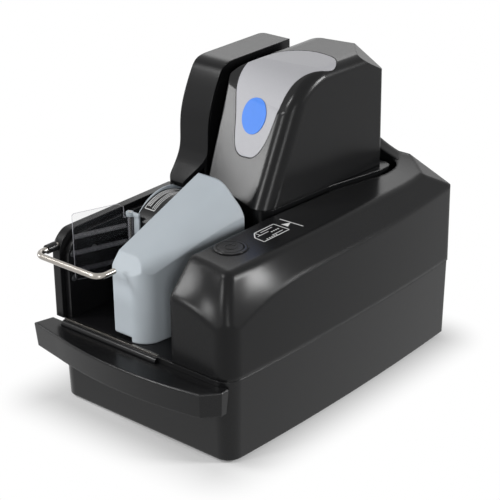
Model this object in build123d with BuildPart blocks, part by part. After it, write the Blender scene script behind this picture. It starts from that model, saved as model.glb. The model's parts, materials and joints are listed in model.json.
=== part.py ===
"""Desktop cheque scanner: a U-shaped document track round a sensor tower on a flat base.

Millimetres, +Z up. X runs across the scanner, from the pocket side to the hopper side, and Y runs
from the front to the back. The origin is the centre of the overall box, on the desk.
"""

from build123d import *
from math import atan2, cos, degrees, exp, radians, sin, tan
import os

os.makedirs("parts", exist_ok=True)

# ---------------------------------------------------------------- driving dimensions
body_width = 160.0
body_depth = 250.2
seam_height = 62.0
side_bow = 4.0
body_corner_radius = 13.0
rear_corner_radius = 3.5
base_draft = 1.5
ledge_reach = 22.0
ledge_overhang = 10.5

foot_height = 2.0
shell_wall = 2.6
seam_gap = 0.5
seat_gap = 0.3
running_gap = 0.05

# pocket side, measured across from the left face
pocket_wall_width = 8.0
liner_thickness = 5.0
door_width = 27.0
track_gap = 6.5

# sensor tower
tower_width_front = 72.5
tower_width_back = 79.8
hood_top = 221.0
hood_lip = 133.5
prow_lean_left = 0.35
prow_lean_right = 0.478

# hopper side
block_width = 49.0
block_top = 132.0
bevel_width = 11.0

wall_top = 126.0
door_top = 212.5
rear_wall_width = 11.0
rear_wall_top = 190.0

# distances back from the front of the body, and between the parts at the back
prow_left = 123.9
prow_right = 97.6
door_start = 118.5
rear_track_gap = 6.1
hood_setback = 6.0
door_setback = 1.0
hinge_inset = 4.3

# ---------------------------------------------------------------- stations worked out from them
left = -(body_width + side_bow - ledge_overhang) / 2
right = left + body_width
front = -(body_depth - ledge_reach) / 2
back = front + body_depth
middle_x = (left + right) / 2
middle_y = (front + back) / 2

liner_x = left + pocket_wall_width
pocket_left = liner_x + liner_thickness
track_outer = left + door_width
tower_left = track_outer + track_gap
tower_right_front = tower_left + tower_width_front
tower_right_back = tower_left + tower_width_back
block_inner = right - block_width

track_back = back - rear_wall_width
island_back = track_back - rear_track_gap
tower_back = island_back - hood_setback
tower_front_left = front + prow_left
tower_front_right = front + prow_right
door_back = tower_back - door_setback
door_front = front + door_start
floor_top = seam_height + 0.4


def write(piece, name):
    """Label a finished piece and write its STEP file."""
    piece.label = name
    export_step(piece, f"parts/{name}.step")


def footprint(inset=0.0, bow=side_bow):
    """Outline of the body: three straight sides and a gently bowed right side."""
    with BuildSketch() as outline:
        with BuildLine():
            x0, x1 = left + inset, right - inset
            y0, y1 = front + inset, back - inset
            Polyline((x1, y0), (x0, y0), (x0, y1), (x1, y1))
            ThreePointArc((x1, y1), (x1 + bow, middle_y), (x1, y0))
        make_face()
        fillet(outline.vertices().sort_by(Axis.Y)[:2], body_corner_radius - min(inset, 10))
        rear = outline.vertices().filter_by(lambda v: v.Y > y1 - 0.01)
        fillet(rear, max(rear_corner_radius - inset, 1.0))
    return outline.sketch


# ---------------------------------------------------------------- base
tub_bottom = foot_height
tub_top = seam_height - seam_gap
plate_thickness = 1.5
plate_top = tub_top
post_radius = 4.5
post_inset = 16.0
plate_screw_radius = 1.5
tub_inset = 0.6

post_spots = [
    (left + post_inset, front + post_inset),
    (right - post_inset, front + post_inset),
    (left + post_inset, back - post_inset),
    (right - post_inset, back - post_inset),
    (left + post_inset, middle_y),
    (right - post_inset, middle_y),
]

jack_x = right - 44.0
usb_x = right - 66.0
port_z = 18.0
jack_size = (11.0, 13.0, 11.0)
usb_size = (12.0, 14.0, 11.0)
board_top = port_z - jack_size[2] / 2
board_thickness = 1.6
board_width = 64.0
board_depth = 70.0
board_x = right - 54.0
board_y = back - 43.0
standoff_radius = 3.0
standoffs = [
    (board_x + side * (board_width / 2 - 5), board_y + end * (board_depth / 2 - 5))
    for side in (-1, 1)
    for end in (-1, 1)
]


def base_tub():
    """Open-topped lower housing, drafted in towards its floor, with six screw posts."""
    with BuildPart() as tub:
        with BuildSketch(Plane.XY.offset(tub_top)):
            add(footprint(tub_inset))
        draft = degrees(atan2(base_draft, tub_top - tub_bottom))
        extrude(amount=-(tub_top - tub_bottom), taper=draft)
        with BuildSketch(Plane.XY.offset(tub_top)):
            add(footprint(tub_inset + shell_wall))
        extrude(amount=-(tub_top - tub_bottom - shell_wall), taper=draft, mode=Mode.SUBTRACT)
        with BuildSketch(Plane.XY.offset(tub_bottom)):
            with Locations(*post_spots):
                Circle(post_radius)
        extrude(amount=plate_top - plate_thickness - tub_bottom)
        with BuildSketch(Plane.XY.offset(tub_bottom)):
            with Locations(*standoffs):
                Circle(standoff_radius)
        extrude(amount=board_top - board_thickness - tub_bottom)
        with BuildSketch(Plane.XY.offset(plate_top)):
            with Locations(*post_spots):
                Circle(plate_screw_radius + running_gap)
        extrude(amount=-14.0, mode=Mode.SUBTRACT)
        for port_x, size in ((jack_x, jack_size), (usb_x, usb_size)):
            with Locations((port_x, back - shell_wall / 2 - tub_inset, port_z)):
                Box(size[0] + 0.6, 3 * shell_wall, size[2] + 0.6, mode=Mode.SUBTRACT)
    return tub.part


write(base_tub(), "base_tub")


# ---------------------------------------------------------------- plan of the open track
track_corner = 15.0
flare_start = front + 168.6
flare_start_x = right - 45.7
flare_end = front + 215.6
flare_end_x = right - 35.0
hopper_end = front + 103.6


def open_plan():
    """Plan of what the upper cover leaves open: pocket, hopper, track, tower and door."""
    with BuildSketch() as plan:
        with BuildLine():
            Polyline(
                (left - 20, front - 20),
                (block_inner, front - 20),
                (block_inner, hopper_end),
                (flare_start_x, flare_start),
                (flare_end_x, flare_end),
                (flare_end_x, track_back),
                (track_outer, track_back),
                (track_outer, door_back + 2 * seat_gap),
                (left - 20, door_back + 2 * seat_gap),
                close=True,
            )
        make_face()
        rear = plan.vertices().filter_by(lambda v: v.Y > track_back - 1)
        fillet(rear.sort_by(Axis.X)[0], track_back - door_back - 3 * seat_gap)
        rear = plan.vertices().filter_by(lambda v: v.Y > track_back - 1)
        fillet(rear.sort_by(Axis.X)[-1], track_corner)
    return plan.sketch


def window(x, y, width, low, high, depth=8.0):
    """Cutter for an upright slot in a wall that faces along X."""
    with BuildPart() as cutter:
        with Locations((x, y, low)):
            Box(depth, width, high - low, align=(Align.CENTER, Align.CENTER, Align.MIN))
    return cutter.part


# ---------------------------------------------------------------- drive train layout
roller_bottom = floor_top + 1.6
roller_top = 98.0
shaft_radius = 2.5
pinch_shaft_radius = 1.5
drive_radius = 9.5
right_drive_radius = 10.9
feed_radius = 11.0
pinch_radius = 6.0
right_pinch_radius = 5.0
pulley_radius = 8.0
pulley_bottom = 33.0
pulley_height = 8.0
belt_height = 5.6
belt_thickness = 1.2

feed_spot = (left + 90.5, front + 79.6)
separator_spot = (left + 113.0, front + 79.6)
right_drive_spot = (left + 98.5, front + 153.6)
right_pinch_spot = (
    right_drive_spot[0] + right_drive_radius + seat_gap + right_pinch_radius,
    right_drive_spot[1],
)
left_drive_spot = (left + 41.0, front + 183.6)
exit_drive_spot = (left + 41.0, front + 140.6)
left_pinch_spot = (
    left_drive_spot[0] - drive_radius - seat_gap - pinch_radius,
    left_drive_spot[1],
)
exit_pinch_spot = (
    exit_drive_spot[0] - drive_radius - seat_gap - pinch_radius,
    exit_drive_spot[1],
)
motor_spot = (left + 55.0, front + 73.6)
motor_radius = 16.0
motor_height = 18.0
gate_spot = (left + 29.5, front + 119.6)
gate_pin_radius = 1.5
hinge_spot = (left + hinge_inset, door_back - hinge_inset)
hinge_pin_radius = 1.5

drive_spots = [feed_spot, separator_spot, right_drive_spot, left_drive_spot, exit_drive_spot]
pulley_spots = [feed_spot, right_drive_spot, left_drive_spot, exit_drive_spot, motor_spot]


def shaft_holes():
    """Every bore through the floor and the plate that a shaft or pin turns in."""
    with BuildPart() as bores:
        with BuildSketch(Plane.XY.offset(plate_top - 10)):
            with Locations(*drive_spots, motor_spot):
                Circle(shaft_radius + running_gap)
            with Locations(right_pinch_spot):
                Circle(pinch_shaft_radius + running_gap)
            with Locations(gate_spot):
                Circle(gate_pin_radius + running_gap)
        extrude(amount=20)
    return bores.part


# ---------------------------------------------------------------- base fittings
foot_radius = 7.0
plate_screw_head = 3.0
jack_bore = 5.5


def rubber_feet():
    """Four round feet under the tub."""
    with BuildPart() as feet:
        with BuildSketch():
            for x in (left + 18, right - 18):
                for y in (front + 20, back - 20):
                    with Locations((x, y)):
                        Circle(foot_radius)
        extrude(amount=foot_height)
    return feet.part


def chassis_plate():
    """Steel plate that closes the tub and carries the motor, the shafts and the tower."""
    with BuildPart() as plate:
        with BuildSketch(Plane.XY.offset(plate_top)):
            add(footprint(tub_inset + shell_wall + seat_gap))
        extrude(amount=-plate_thickness)
        with BuildSketch(Plane.XY.offset(plate_top)):
            with Locations(*post_spots):
                Circle(plate_screw_radius + running_gap)
        extrude(amount=-plate_thickness, mode=Mode.SUBTRACT)
        with Locations([(x, y, plate_top) for x, y in post_spots]):
            Cone(
                plate_screw_radius + running_gap,
                plate_screw_head,
                plate_thickness,
                align=(Align.CENTER, Align.CENTER, Align.MAX),
                mode=Mode.SUBTRACT,
            )
        add(shaft_holes(), mode=Mode.SUBTRACT)
    return plate.part


def chassis_screws():
    """Six countersunk screws that hold the plate on the tub's posts."""
    with BuildPart() as screws:
        with Locations([(x, y, plate_top) for x, y in post_spots]):
            Cone(
                plate_screw_radius,
                plate_screw_head - running_gap,
                plate_thickness,
                align=(Align.CENTER, Align.CENTER, Align.MAX),
            )
            Cylinder(
                plate_screw_radius,
                12.0,
                align=(Align.CENTER, Align.CENTER, Align.MAX),
            )
            Box(
                0.8,
                3.6,
                0.8,
                align=(Align.CENTER, Align.CENTER, Align.MAX),
                mode=Mode.SUBTRACT,
            )
    return screws.part


def main_board():
    """Circuit board on the tub's four standoffs."""
    with BuildPart() as board:
        with Locations((board_x, board_y, board_top)):
            Box(
                board_width,
                board_depth,
                board_thickness,
                align=(Align.CENTER, Align.CENTER, Align.MAX),
            )
        for x, y, width, depth, height in (
            (-14, -8, 16, 16, 2.2),
            (14, -12, 12, 12, 2.0),
            (-16, -26, 26, 6, 6.0),
            (20, 12, 8, 8, 9.0),
        ):
            with Locations((board_x + x, board_y + y, board_top)):
                Box(width, depth, height, align=(Align.CENTER, Align.CENTER, Align.MIN))
    return board.part


def port_face():
    """How far back the drafted rear face of the tub stands at the height of the ports."""
    lean = base_draft * (tub_top - port_z) / (tub_top - tub_bottom)
    return back - tub_inset - lean


def dc_jack():
    """Round power inlet for the mains adapter."""
    with BuildPart() as jack:
        with Locations((jack_x, port_face(), board_top)):
            Box(*jack_size, align=(Align.CENTER, Align.MAX, Align.MIN))
        with BuildSketch(Plane.XZ.offset(-port_face())):
            with Locations((jack_x, port_z)):
                Circle(jack_bore / 2)
        extrude(amount=9.0, mode=Mode.SUBTRACT)
        with BuildSketch(Plane.XZ.offset(-port_face())):
            with Locations((jack_x, port_z)):
                Circle(1.0)
        extrude(amount=9.5)
    return jack.part


def usb_port():
    """Square data inlet with its tongue."""
    with BuildPart() as usb:
        with Locations((usb_x, port_face(), board_top)):
            Box(*usb_size, align=(Align.CENTER, Align.MAX, Align.MIN))
        with BuildSketch(Plane.XZ.offset(-port_face())):
            with Locations((usb_x, port_z)):
                Rectangle(8.5, 7.8)
                Rectangle(5.6, 3.2, mode=Mode.SUBTRACT)
        extrude(amount=8.5, mode=Mode.SUBTRACT)
    return usb.part


write(rubber_feet(), "rubber_feet")
write(chassis_plate(), "chassis_plate")
write(chassis_screws(), "chassis_screws")
write(main_board(), "main_board")
write(dc_jack(), "dc_jack")
write(usb_port(), "usb_port")


# ---------------------------------------------------------------- drive train
def roller(spot, radius, shaft):
    """Rubber roller moulded on a steel shaft that runs down through the plate."""
    with BuildPart() as turned:
        with Locations((*spot, roller_bottom)):
            Cylinder(
                radius,
                roller_top - roller_bottom,
                align=(Align.CENTER, Align.CENTER, Align.MIN),
            )
        chamfer(turned.edges().filter_by(GeomType.CIRCLE), 0.8)
        with Locations((*spot, pulley_bottom - 1)):
            Cylinder(
                shaft,
                roller_bottom - pulley_bottom + 2,
                align=(Align.CENTER, Align.CENTER, Align.MIN),
            )
        for low in (roller_bottom + 9, roller_bottom + 21):
            with BuildSketch(Plane.XY.offset(low)):
                with Locations(spot):
                    Circle(radius + 1)
                    Circle(radius - 0.8, mode=Mode.SUBTRACT)
            extrude(amount=2.0, mode=Mode.SUBTRACT)
    return turned.part


def pinch_roller(spot, radius, low, high, stub_low, stub_high):
    """Spring-pressed idler that turns on the stubs at its two ends."""
    with BuildPart() as idler:
        with Locations((*spot, low)):
            Cylinder(radius, high - low, align=(Align.CENTER, Align.CENTER, Align.MIN))
        chamfer(idler.edges().filter_by(GeomType.CIRCLE), 0.8)
        with Locations((*spot, stub_low)):
            Cylinder(
                pinch_shaft_radius,
                stub_high - stub_low,
                align=(Align.CENTER, Align.CENTER, Align.MIN),
            )
    return idler.part


def pulley(spot):
    """Flanged pulley pressed on the lower end of a shaft."""
    with BuildPart() as wheel:
        with BuildSketch(Plane.XY.offset(pulley_bottom)):
            with Locations(spot):
                Circle(pulley_radius)
        extrude(amount=pulley_height)
        for low in (pulley_bottom, pulley_bottom + pulley_height - 0.8):
            with BuildSketch(Plane.XY.offset(low)):
                with Locations(spot):
                    Circle(pulley_radius + 1.6)
            extrude(amount=0.8)
        with BuildSketch(Plane.XY.offset(pulley_bottom)):
            with Locations(spot):
                Circle(shaft_radius)
        extrude(amount=pulley_height, mode=Mode.SUBTRACT)
    return wheel.part


def drive_belt():
    """Flat belt round the motor pulley and the four roller pulleys."""
    with BuildPart() as belt:
        level = pulley_bottom + (pulley_height - belt_height) / 2
        for grow, mode in ((belt_thickness, Mode.ADD), (0.0, Mode.SUBTRACT)):
            with BuildSketch(Plane.XY.offset(level)):
                with Locations(*pulley_spots):
                    Circle(pulley_radius + seat_gap + grow)
                make_hull()
            extrude(amount=belt_height, mode=mode)
    return belt.part


def drive_motor():
    """Motor hung under the plate."""
    with BuildPart() as motor:
        with Locations((*motor_spot, plate_top - plate_thickness)):
            Cylinder(
                motor_radius,
                motor_height,
                align=(Align.CENTER, Align.CENTER, Align.MAX),
            )
        chamfer(motor.edges().filter_by(GeomType.CIRCLE).sort_by(Axis.Z)[0], 1.0)
        with Locations((*motor_spot, plate_top)):
            Cylinder(
                shaft_radius + 0.3,
                motor_height + 5,
                align=(Align.CENTER, Align.CENTER, Align.MAX),
                mode=Mode.SUBTRACT,
            )
    return motor.part


def motor_shaft():
    """Motor's turning shaft, down to its pulley."""
    with BuildPart() as spindle:
        with Locations((*motor_spot, pulley_bottom - 1)):
            Cylinder(
                shaft_radius,
                plate_top - pulley_bottom + 0.4,
                align=(Align.CENTER, Align.CENTER, Align.MIN),
            )
    return spindle.part


write(roller(feed_spot, feed_radius, shaft_radius), "feed_roller")
write(roller(separator_spot, feed_radius, shaft_radius), "separator_roller")
write(roller(right_drive_spot, right_drive_radius, shaft_radius), "right_drive_roller")
write(roller(left_drive_spot, drive_radius, shaft_radius), "left_drive_roller")
write(roller(exit_drive_spot, drive_radius, shaft_radius), "exit_drive_roller")
write(
    pinch_roller(
        right_pinch_spot, right_pinch_radius, 78.0, roller_top, plate_top - 4, roller_top + 3
    ),
    "right_pinch_roller",
)
write(drive_motor(), "drive_motor")
write(motor_shaft(), "motor_shaft")
for pulley_name, pulley_spot in (
    ("motor_pulley", motor_spot),
    ("feed_pulley", feed_spot),
    ("right_pulley", right_drive_spot),
    ("left_pulley", left_drive_spot),
    ("exit_pulley", exit_drive_spot),
):
    write(pulley(pulley_spot), pulley_name)
write(drive_belt(), "drive_belt")


# ---------------------------------------------------------------- pocket floor and front
strip_length = 88.0
strip_depth = 1.6
strip_left = left + 9.0
roll_radius = 3.0
roll_length = strip_length + 1.0
roll_left = strip_left - 1.0
roll_z = 58.0
ledge_top = 57.5
ledge_bottom = 39.5


def tub_block():
    """The tub as a plain solid, to cut what leans on its drafted faces."""
    with BuildPart() as block:
        with BuildSketch(Plane.XY.offset(tub_top)):
            add(footprint(tub_inset))
        draft = degrees(atan2(base_draft, tub_top - tub_bottom))
        extrude(amount=-(tub_top - tub_bottom), taper=draft)
    return block.part


def pocket_floor():
    """Glossy deck under the pocket, the hopper and the track."""
    with BuildPart() as deck:
        with BuildSketch(Plane.XY.offset(plate_top)):
            add(open_plan())
            offset(amount=-seat_gap)
            add(footprint(0.8), mode=Mode.INTERSECT)
            with Locations((strip_left - seat_gap, front)):
                Rectangle(
                    strip_length + 2 * seat_gap,
                    strip_depth + 2 * seat_gap + 0.8,
                    align=(Align.MIN, Align.MIN),
                    mode=Mode.SUBTRACT,
                )
        extrude(amount=floor_top - plate_top)
        add(shaft_holes(), mode=Mode.SUBTRACT)
    return deck.part


def floor_strip():
    """Steel wear strip along the front edge of the deck."""
    with BuildPart() as strip:
        with Locations((strip_left, front + 0.8, plate_top)):
            Box(
                strip_length,
                strip_depth,
                floor_top - plate_top,
                align=(Align.MIN, Align.MIN, Align.MIN),
            )
    return strip.part


def front_roll():
    """Rounded bead below the strip, against the tub's front."""
    with BuildPart() as roll:
        with BuildSketch(Plane.YZ.offset(roll_left)):
            with Locations((front + tub_inset, roll_z)):
                Circle(roll_radius)
        extrude(amount=roll_length)
        add(tub_block(), mode=Mode.SUBTRACT)
    return roll.part


def front_ledge():
    """Shelf across the front, wider than the body on the pocket side."""
    with BuildPart() as ledge:
        with BuildSketch(Plane.XY.offset(ledge_top)):
            with BuildLine():
                Polyline(
                    (left - 6.9, front + 3),
                    (left - ledge_overhang, front - 10.7),
                    (left + 15.6, front - 15.5),
                )
                ThreePointArc(
                    (left + 15.6, front - 15.5),
                    (left + 68, front - ledge_reach),
                    (right - 12, front - 14.9),
                )
                Polyline(
                    (right - 12, front - 14.9),
                    (right - 2.2, front - 4),
                    (right - 2.2, front + 3),
                    (left - 6.9, front + 3),
                )
            make_face()
        extrude(amount=-(ledge_top - ledge_bottom), taper=4)
        rim = ledge.edges().group_by(Axis.Z)[-1].filter_by(lambda e: e.center().Y < front)
        fillet(rim, 1.2)
        add(tub_block(), mode=Mode.SUBTRACT)
        with Locations((roll_left - seat_gap, front + 6, roll_z - roll_radius - seat_gap)):
            Box(
                roll_length + 2 * seat_gap,
                6 + roll_radius - tub_inset + seat_gap,
                10,
                align=(Align.MIN, Align.MAX, Align.MIN),
                mode=Mode.SUBTRACT,
            )
    return ledge.part


write(pocket_floor(), "pocket_floor")
write(floor_strip(), "floor_strip")
write(front_roll(), "front_roll")
write(front_ledge(), "front_ledge")


# ---------------------------------------------------------------- pocket
wall_end = front + 117.6
stop_radius = 2.1
stop_z = 116.0
stop_x = left + pocket_wall_width / 2
stop_reach = 17.4
stop_free_x = left + 64.0
stop_tail = 76.0
sleeve_radius = 3.25
sleeve_length = 7.6
liner_inset = 3.5
liner_screw_radius = 1.2
liner_head_radius = 2.4
liner_screw_spots = [(front + 4.4 + liner_inset, 110.3), (front + 4.4 + liner_inset, 92.0), (front + 28.0, 107.6)]


def wall_outline(inset):
    """Side outline of the pocket wall, rounded at its front top corner."""
    with BuildSketch() as outline:
        with BuildLine():
            y0, y1, top = front + 0.2 + inset, wall_end, wall_top - inset
            Polyline((y1, floor_top), (y0, floor_top), (y0, top - 20 + inset))
            Spline(
                (y0, top - 20 + inset),
                (y0 + 3.4, top - 6.6),
                (y0 + 9.4, top - 1.4),
                (y0 + 20.0, top),
                tangents=((0, 1), (1, 0)),
            )
            Polyline((y0 + 20.0, top), (y1, top), (y1, floor_top))
        make_face()
    return outline.sketch


def pocket_wall():
    """Outer wall of the exit pocket, bored for the document stop."""
    with BuildPart() as wall:
        with BuildSketch(Plane.YZ.offset(left)):
            add(wall_outline(0))
        extrude(amount=pocket_wall_width)
        top = wall.edges().filter_by(lambda e: e.center().X < left + 0.1)
        fillet(top.filter_by(lambda e: e.center().Z > 100 and e.center().Y < wall_end - 1), 2.0)
        with BuildSketch(Plane.XZ.offset(-front)):
            with Locations((stop_x, stop_z)):
                Circle(stop_radius + running_gap)
        extrude(amount=-(stop_tail + 2), mode=Mode.SUBTRACT)
        with BuildSketch(Plane.YZ.offset(liner_x)):
            with Locations(*liner_screw_spots):
                Circle(liner_screw_radius)
        extrude(amount=-3.0, mode=Mode.SUBTRACT)
    return wall.part


def pocket_liner():
    """Glossy plate lining the inside of the pocket wall."""
    with BuildPart() as liner:
        with BuildSketch(Plane.YZ.offset(liner_x)):
            add(wall_outline(liner_inset))
        extrude(amount=liner_thickness)
        with BuildSketch(Plane.YZ.offset(liner_x)):
            with Locations(*liner_screw_spots):
                Circle(liner_screw_radius)
        extrude(amount=liner_thickness, mode=Mode.SUBTRACT)
    return liner.part


def liner_screws():
    """Three pan-head screws that hold the liner on the wall."""
    with BuildPart() as screws:
        with BuildSketch(Plane.YZ.offset(liner_x - 3.0)):
            with Locations(*liner_screw_spots):
                Circle(liner_screw_radius)
        extrude(amount=3.0 + liner_thickness)
        with BuildSketch(Plane.YZ.offset(pocket_left)):
            with Locations(*liner_screw_spots):
                Circle(liner_head_radius)
        extrude(amount=1.1)
        heads = screws.edges().filter_by(lambda e: e.center().X > pocket_left + 1)
        fillet(heads, 0.6)
    return screws.part


def stop_sleeve():
    """Bush in the wall's front edge that guides the stop."""
    with BuildPart() as sleeve:
        with BuildSketch(Plane.XZ.offset(-(front + 0.2))):
            with Locations((stop_x, stop_z)):
                Circle(sleeve_radius)
                Circle(stop_radius + running_gap, mode=Mode.SUBTRACT)
        extrude(amount=sleeve_length)
    return sleeve.part


def document_stop():
    """Bent wire that holds the sorted cheques in; it slides out for longer ones."""
    with BuildPart() as stop:
        bar_y = front - stop_reach
        with BuildLine() as path:
            FilletPolyline(
                (stop_x, front + stop_tail - 18, stop_z),
                (stop_x, bar_y, stop_z),
                (stop_free_x, bar_y, stop_z),
                (stop_free_x, bar_y + 15, stop_z),
                radius=7.0,
            )
        with BuildSketch(Plane.XZ.offset(-(front + stop_tail - 18))):
            with Locations((stop_x, stop_z)):
                Circle(stop_radius)
        sweep(path=path.line)
        tip = stop.faces().filter_by(lambda f: abs(f.center().X - stop_free_x) < 0.1)
        end = tip.filter_by(GeomType.PLANE).edges()
        fillet(end, 1.2)
    return stop.part


write(pocket_wall(), "pocket_wall")
write(pocket_liner(), "pocket_liner")
write(liner_screws(), "liner_screws")
write(stop_sleeve(), "stop_sleeve")
write(document_stop(), "document_stop")


# ---------------------------------------------------------------- upper cover
cover_bottom = seam_height
cover_skin = 3.0
ramp_length = 43.6
ramp_rise = 4.4
scoop_overrun = 0.3
cover_post_radius = 4.0
cover_post_top = 100.0
knuckle_half = 5.0
knuckle_radius = 3.8
knuckle_levels = (84.0, rear_wall_top - 18.0)
hinge_pin_top = knuckle_levels[1] + knuckle_half + 8.0
button_spot = (right - 36.8, front + 46.2)
bezel_radius = 11.3
bezel_cup_radius = 10.4
button_radius = 9.0
button_slide_gap = 0.3
button_travel = 1.2
cup_bottom = block_top - 16.0

soft_radius = 7.0
facet_fall = 28.0

# the side bevel drops by side_drop along most of its length and by scoop_depth more at the front
side_drop = 11.5
scoop_depth = 30.0
scoop_middle = 21.0
scoop_blend = 15.0

# where the front bevel starts and how far it drops, at distances in from the right face
nose_drops = [
    (block_width + 20.0, 21.0, 20.0),
    (block_width, 21.0, 20.0),
    (block_width - 22.0, 18.0, 24.0),
    (9.0, 13.0, 31.0),
    (-12.0, 12.5, 34.0),
]


def side_scoop():
    """Cutter for the bevel along the right top edge, which deepens into a scoop at the front."""
    inner = right - bevel_width
    low, high = 2.2, block_top + 60
    with BuildPart() as cutter:
        for along in range(-14, 270, 17):
            drop = side_drop + scoop_depth / (1 + exp((along - scoop_middle) / scoop_blend))
            with BuildSketch(Plane.XZ.offset(-(front + along))):
                with BuildLine():
                    Polyline(
                        (inner - scoop_overrun * bevel_width, block_top + scoop_overrun * drop),
                        (inner + low * bevel_width, block_top - low * drop),
                        (inner + low * bevel_width, high),
                        (inner - scoop_overrun * bevel_width, high),
                        close=True,
                    )
                make_face()
        loft()
    return cutter.part


def nose_scoop():
    """Cutter for the bevel across the front of the block, deepest at the outer corner."""
    high = block_top + 60
    with BuildPart() as cutter:
        for inward, start, drop in nose_drops:
            run = start - 1.5
            with BuildSketch(Plane.YZ.offset(right - inward)):
                with BuildLine():
                    Polyline(
                        (front + start + scoop_overrun * run, block_top + scoop_overrun * drop),
                        (front + start - 2 * run, block_top - 2 * drop),
                        (front + start - 2 * run, high),
                        (front + start + scoop_overrun * run, high),
                        close=True,
                    )
                make_face()
        loft()
    return cutter.part


def rear_ramp():
    """Gentle rise of the cover's top towards the back."""
    radius = (ramp_length**2 + ramp_rise**2) / (2 * ramp_rise)
    half = atan2(ramp_length, radius - ramp_rise) / 2
    start = back - ramp_length
    halfway = (start + radius * sin(half), block_top + radius * (1 - cos(half)))
    with BuildPart() as ramp:
        with BuildSketch(Plane.YZ.offset(left)):
            with BuildLine():
                ThreePointArc((start, block_top), halfway, (back, block_top + ramp_rise))
                Polyline(
                    (back, block_top + ramp_rise),
                    (back, block_top - 10),
                    (start, block_top - 10),
                    (start, block_top),
                )
            make_face()
        extrude(amount=body_width + side_bow)
        with BuildSketch(Plane.XY.offset(cover_bottom)):
            add(footprint())
        extrude(amount=rear_wall_top, mode=Mode.INTERSECT)
    return ramp.part


def rear_wall():
    """Back wall of the track, which sweeps up from the low block to the tall door post."""
    swoop = [
        (right - 24.0, block_top + 1.0),
        (right - 58.0, block_top + 7.8),
        (right - 88.0, block_top + 28.0),
        (right - 107.0, block_top + 46.0),
        (right - 130.0, rear_wall_top),
    ]
    with BuildPart() as wall:
        with BuildSketch(Plane.XZ.offset(-back)):
            with BuildLine():
                ThreePointArc(*swoop[:3])
                ThreePointArc(*swoop[2:])
                Polyline(
                    swoop[-1],
                    (left, rear_wall_top),
                    (left, cover_bottom),
                    (swoop[0][0], cover_bottom),
                    swoop[0],
                )
            make_face()
        extrude(amount=rear_wall_width)
        with BuildSketch(Plane.XY.offset(cover_bottom)):
            with Locations((left, back)):
                Rectangle(door_width, back - door_back, align=(Align.MIN, Align.MAX))
        extrude(amount=rear_wall_top - cover_bottom)
        with BuildSketch(Plane.XY.offset(cover_bottom)):
            add(footprint())
        extrude(amount=rear_wall_top, mode=Mode.INTERSECT)
        split(bisect_by=corner_facet(), keep=Keep.BOTTOM)
    return wall.part


def corner_facet():
    """Plane of the facet cut across the rear right corner."""
    start = Vector(right - 10.6, back - 19.2, block_top)
    end = Vector(right - 36.0, back, block_top + 3.5)
    along = (end - start).normalized()
    outward = Vector(0.68, 0.73, 0).normalized()
    down = outward * cos(radians(facet_fall)) - Vector(0, 0, sin(radians(facet_fall)))
    normal = along.cross(down)
    if normal.Z < 0:
        normal = normal * -1
    return Plane(origin=start, x_dir=along, z_dir=normal)


def block_hollow():
    """Space inside the right block, in two steps that follow its bevelled top."""
    inner = block_inner + cover_skin
    with BuildPart() as hollow:
        with BuildSketch(Plane.XY.offset(cover_bottom)):
            with BuildLine():
                Polyline(
                    (inner, front + 20),
                    (right - bevel_width - 3, front + 20),
                    (right - bevel_width - 3, back - 26),
                    (flare_end_x + cover_skin + 2, back - 26),
                    (flare_end_x + cover_skin + 2, flare_end - 4),
                    (flare_start_x + cover_skin + 1, flare_start),
                    (inner, hopper_end),
                    close=True,
                )
            make_face()
        extrude(amount=block_top - cover_skin - cover_bottom)
        with BuildSketch(Plane.XY.offset(cover_bottom)):
            with BuildLine():
                Polyline(
                    (inner, front + cover_skin),
                    (right - 10, front + cover_skin),
                    (right - cover_skin, front + 14),
                    (right - cover_skin, back - 16),
                    (right - 14, back - 10),
                    (flare_end_x + cover_skin + 2, back - 10),
                    (flare_end_x + cover_skin + 2, flare_end - 4),
                    (flare_start_x + cover_skin + 1, flare_start),
                    (inner, hopper_end),
                    close=True,
                )
            make_face()
        extrude(amount=92.0 - cover_bottom)
    return hollow.part


def is_soft_edge(edge):
    """True for the edges where the block's top and its nose roll over into their bevels."""
    spot = edge.center()
    on_top = spot.Z > block_top - 0.5 and spot.Y < back - 15 and spot.X > block_inner - 14
    on_arris = block_top - 20 < spot.Z < block_top and spot.Y < front + 15 and spot.X < right
    on_nose = spot.Z > cover_bottom + 30 and spot.Y < front + 4 and spot.X > block_inner
    return on_top or on_nose or (on_arris and spot.X > right - bevel_width)


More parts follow.
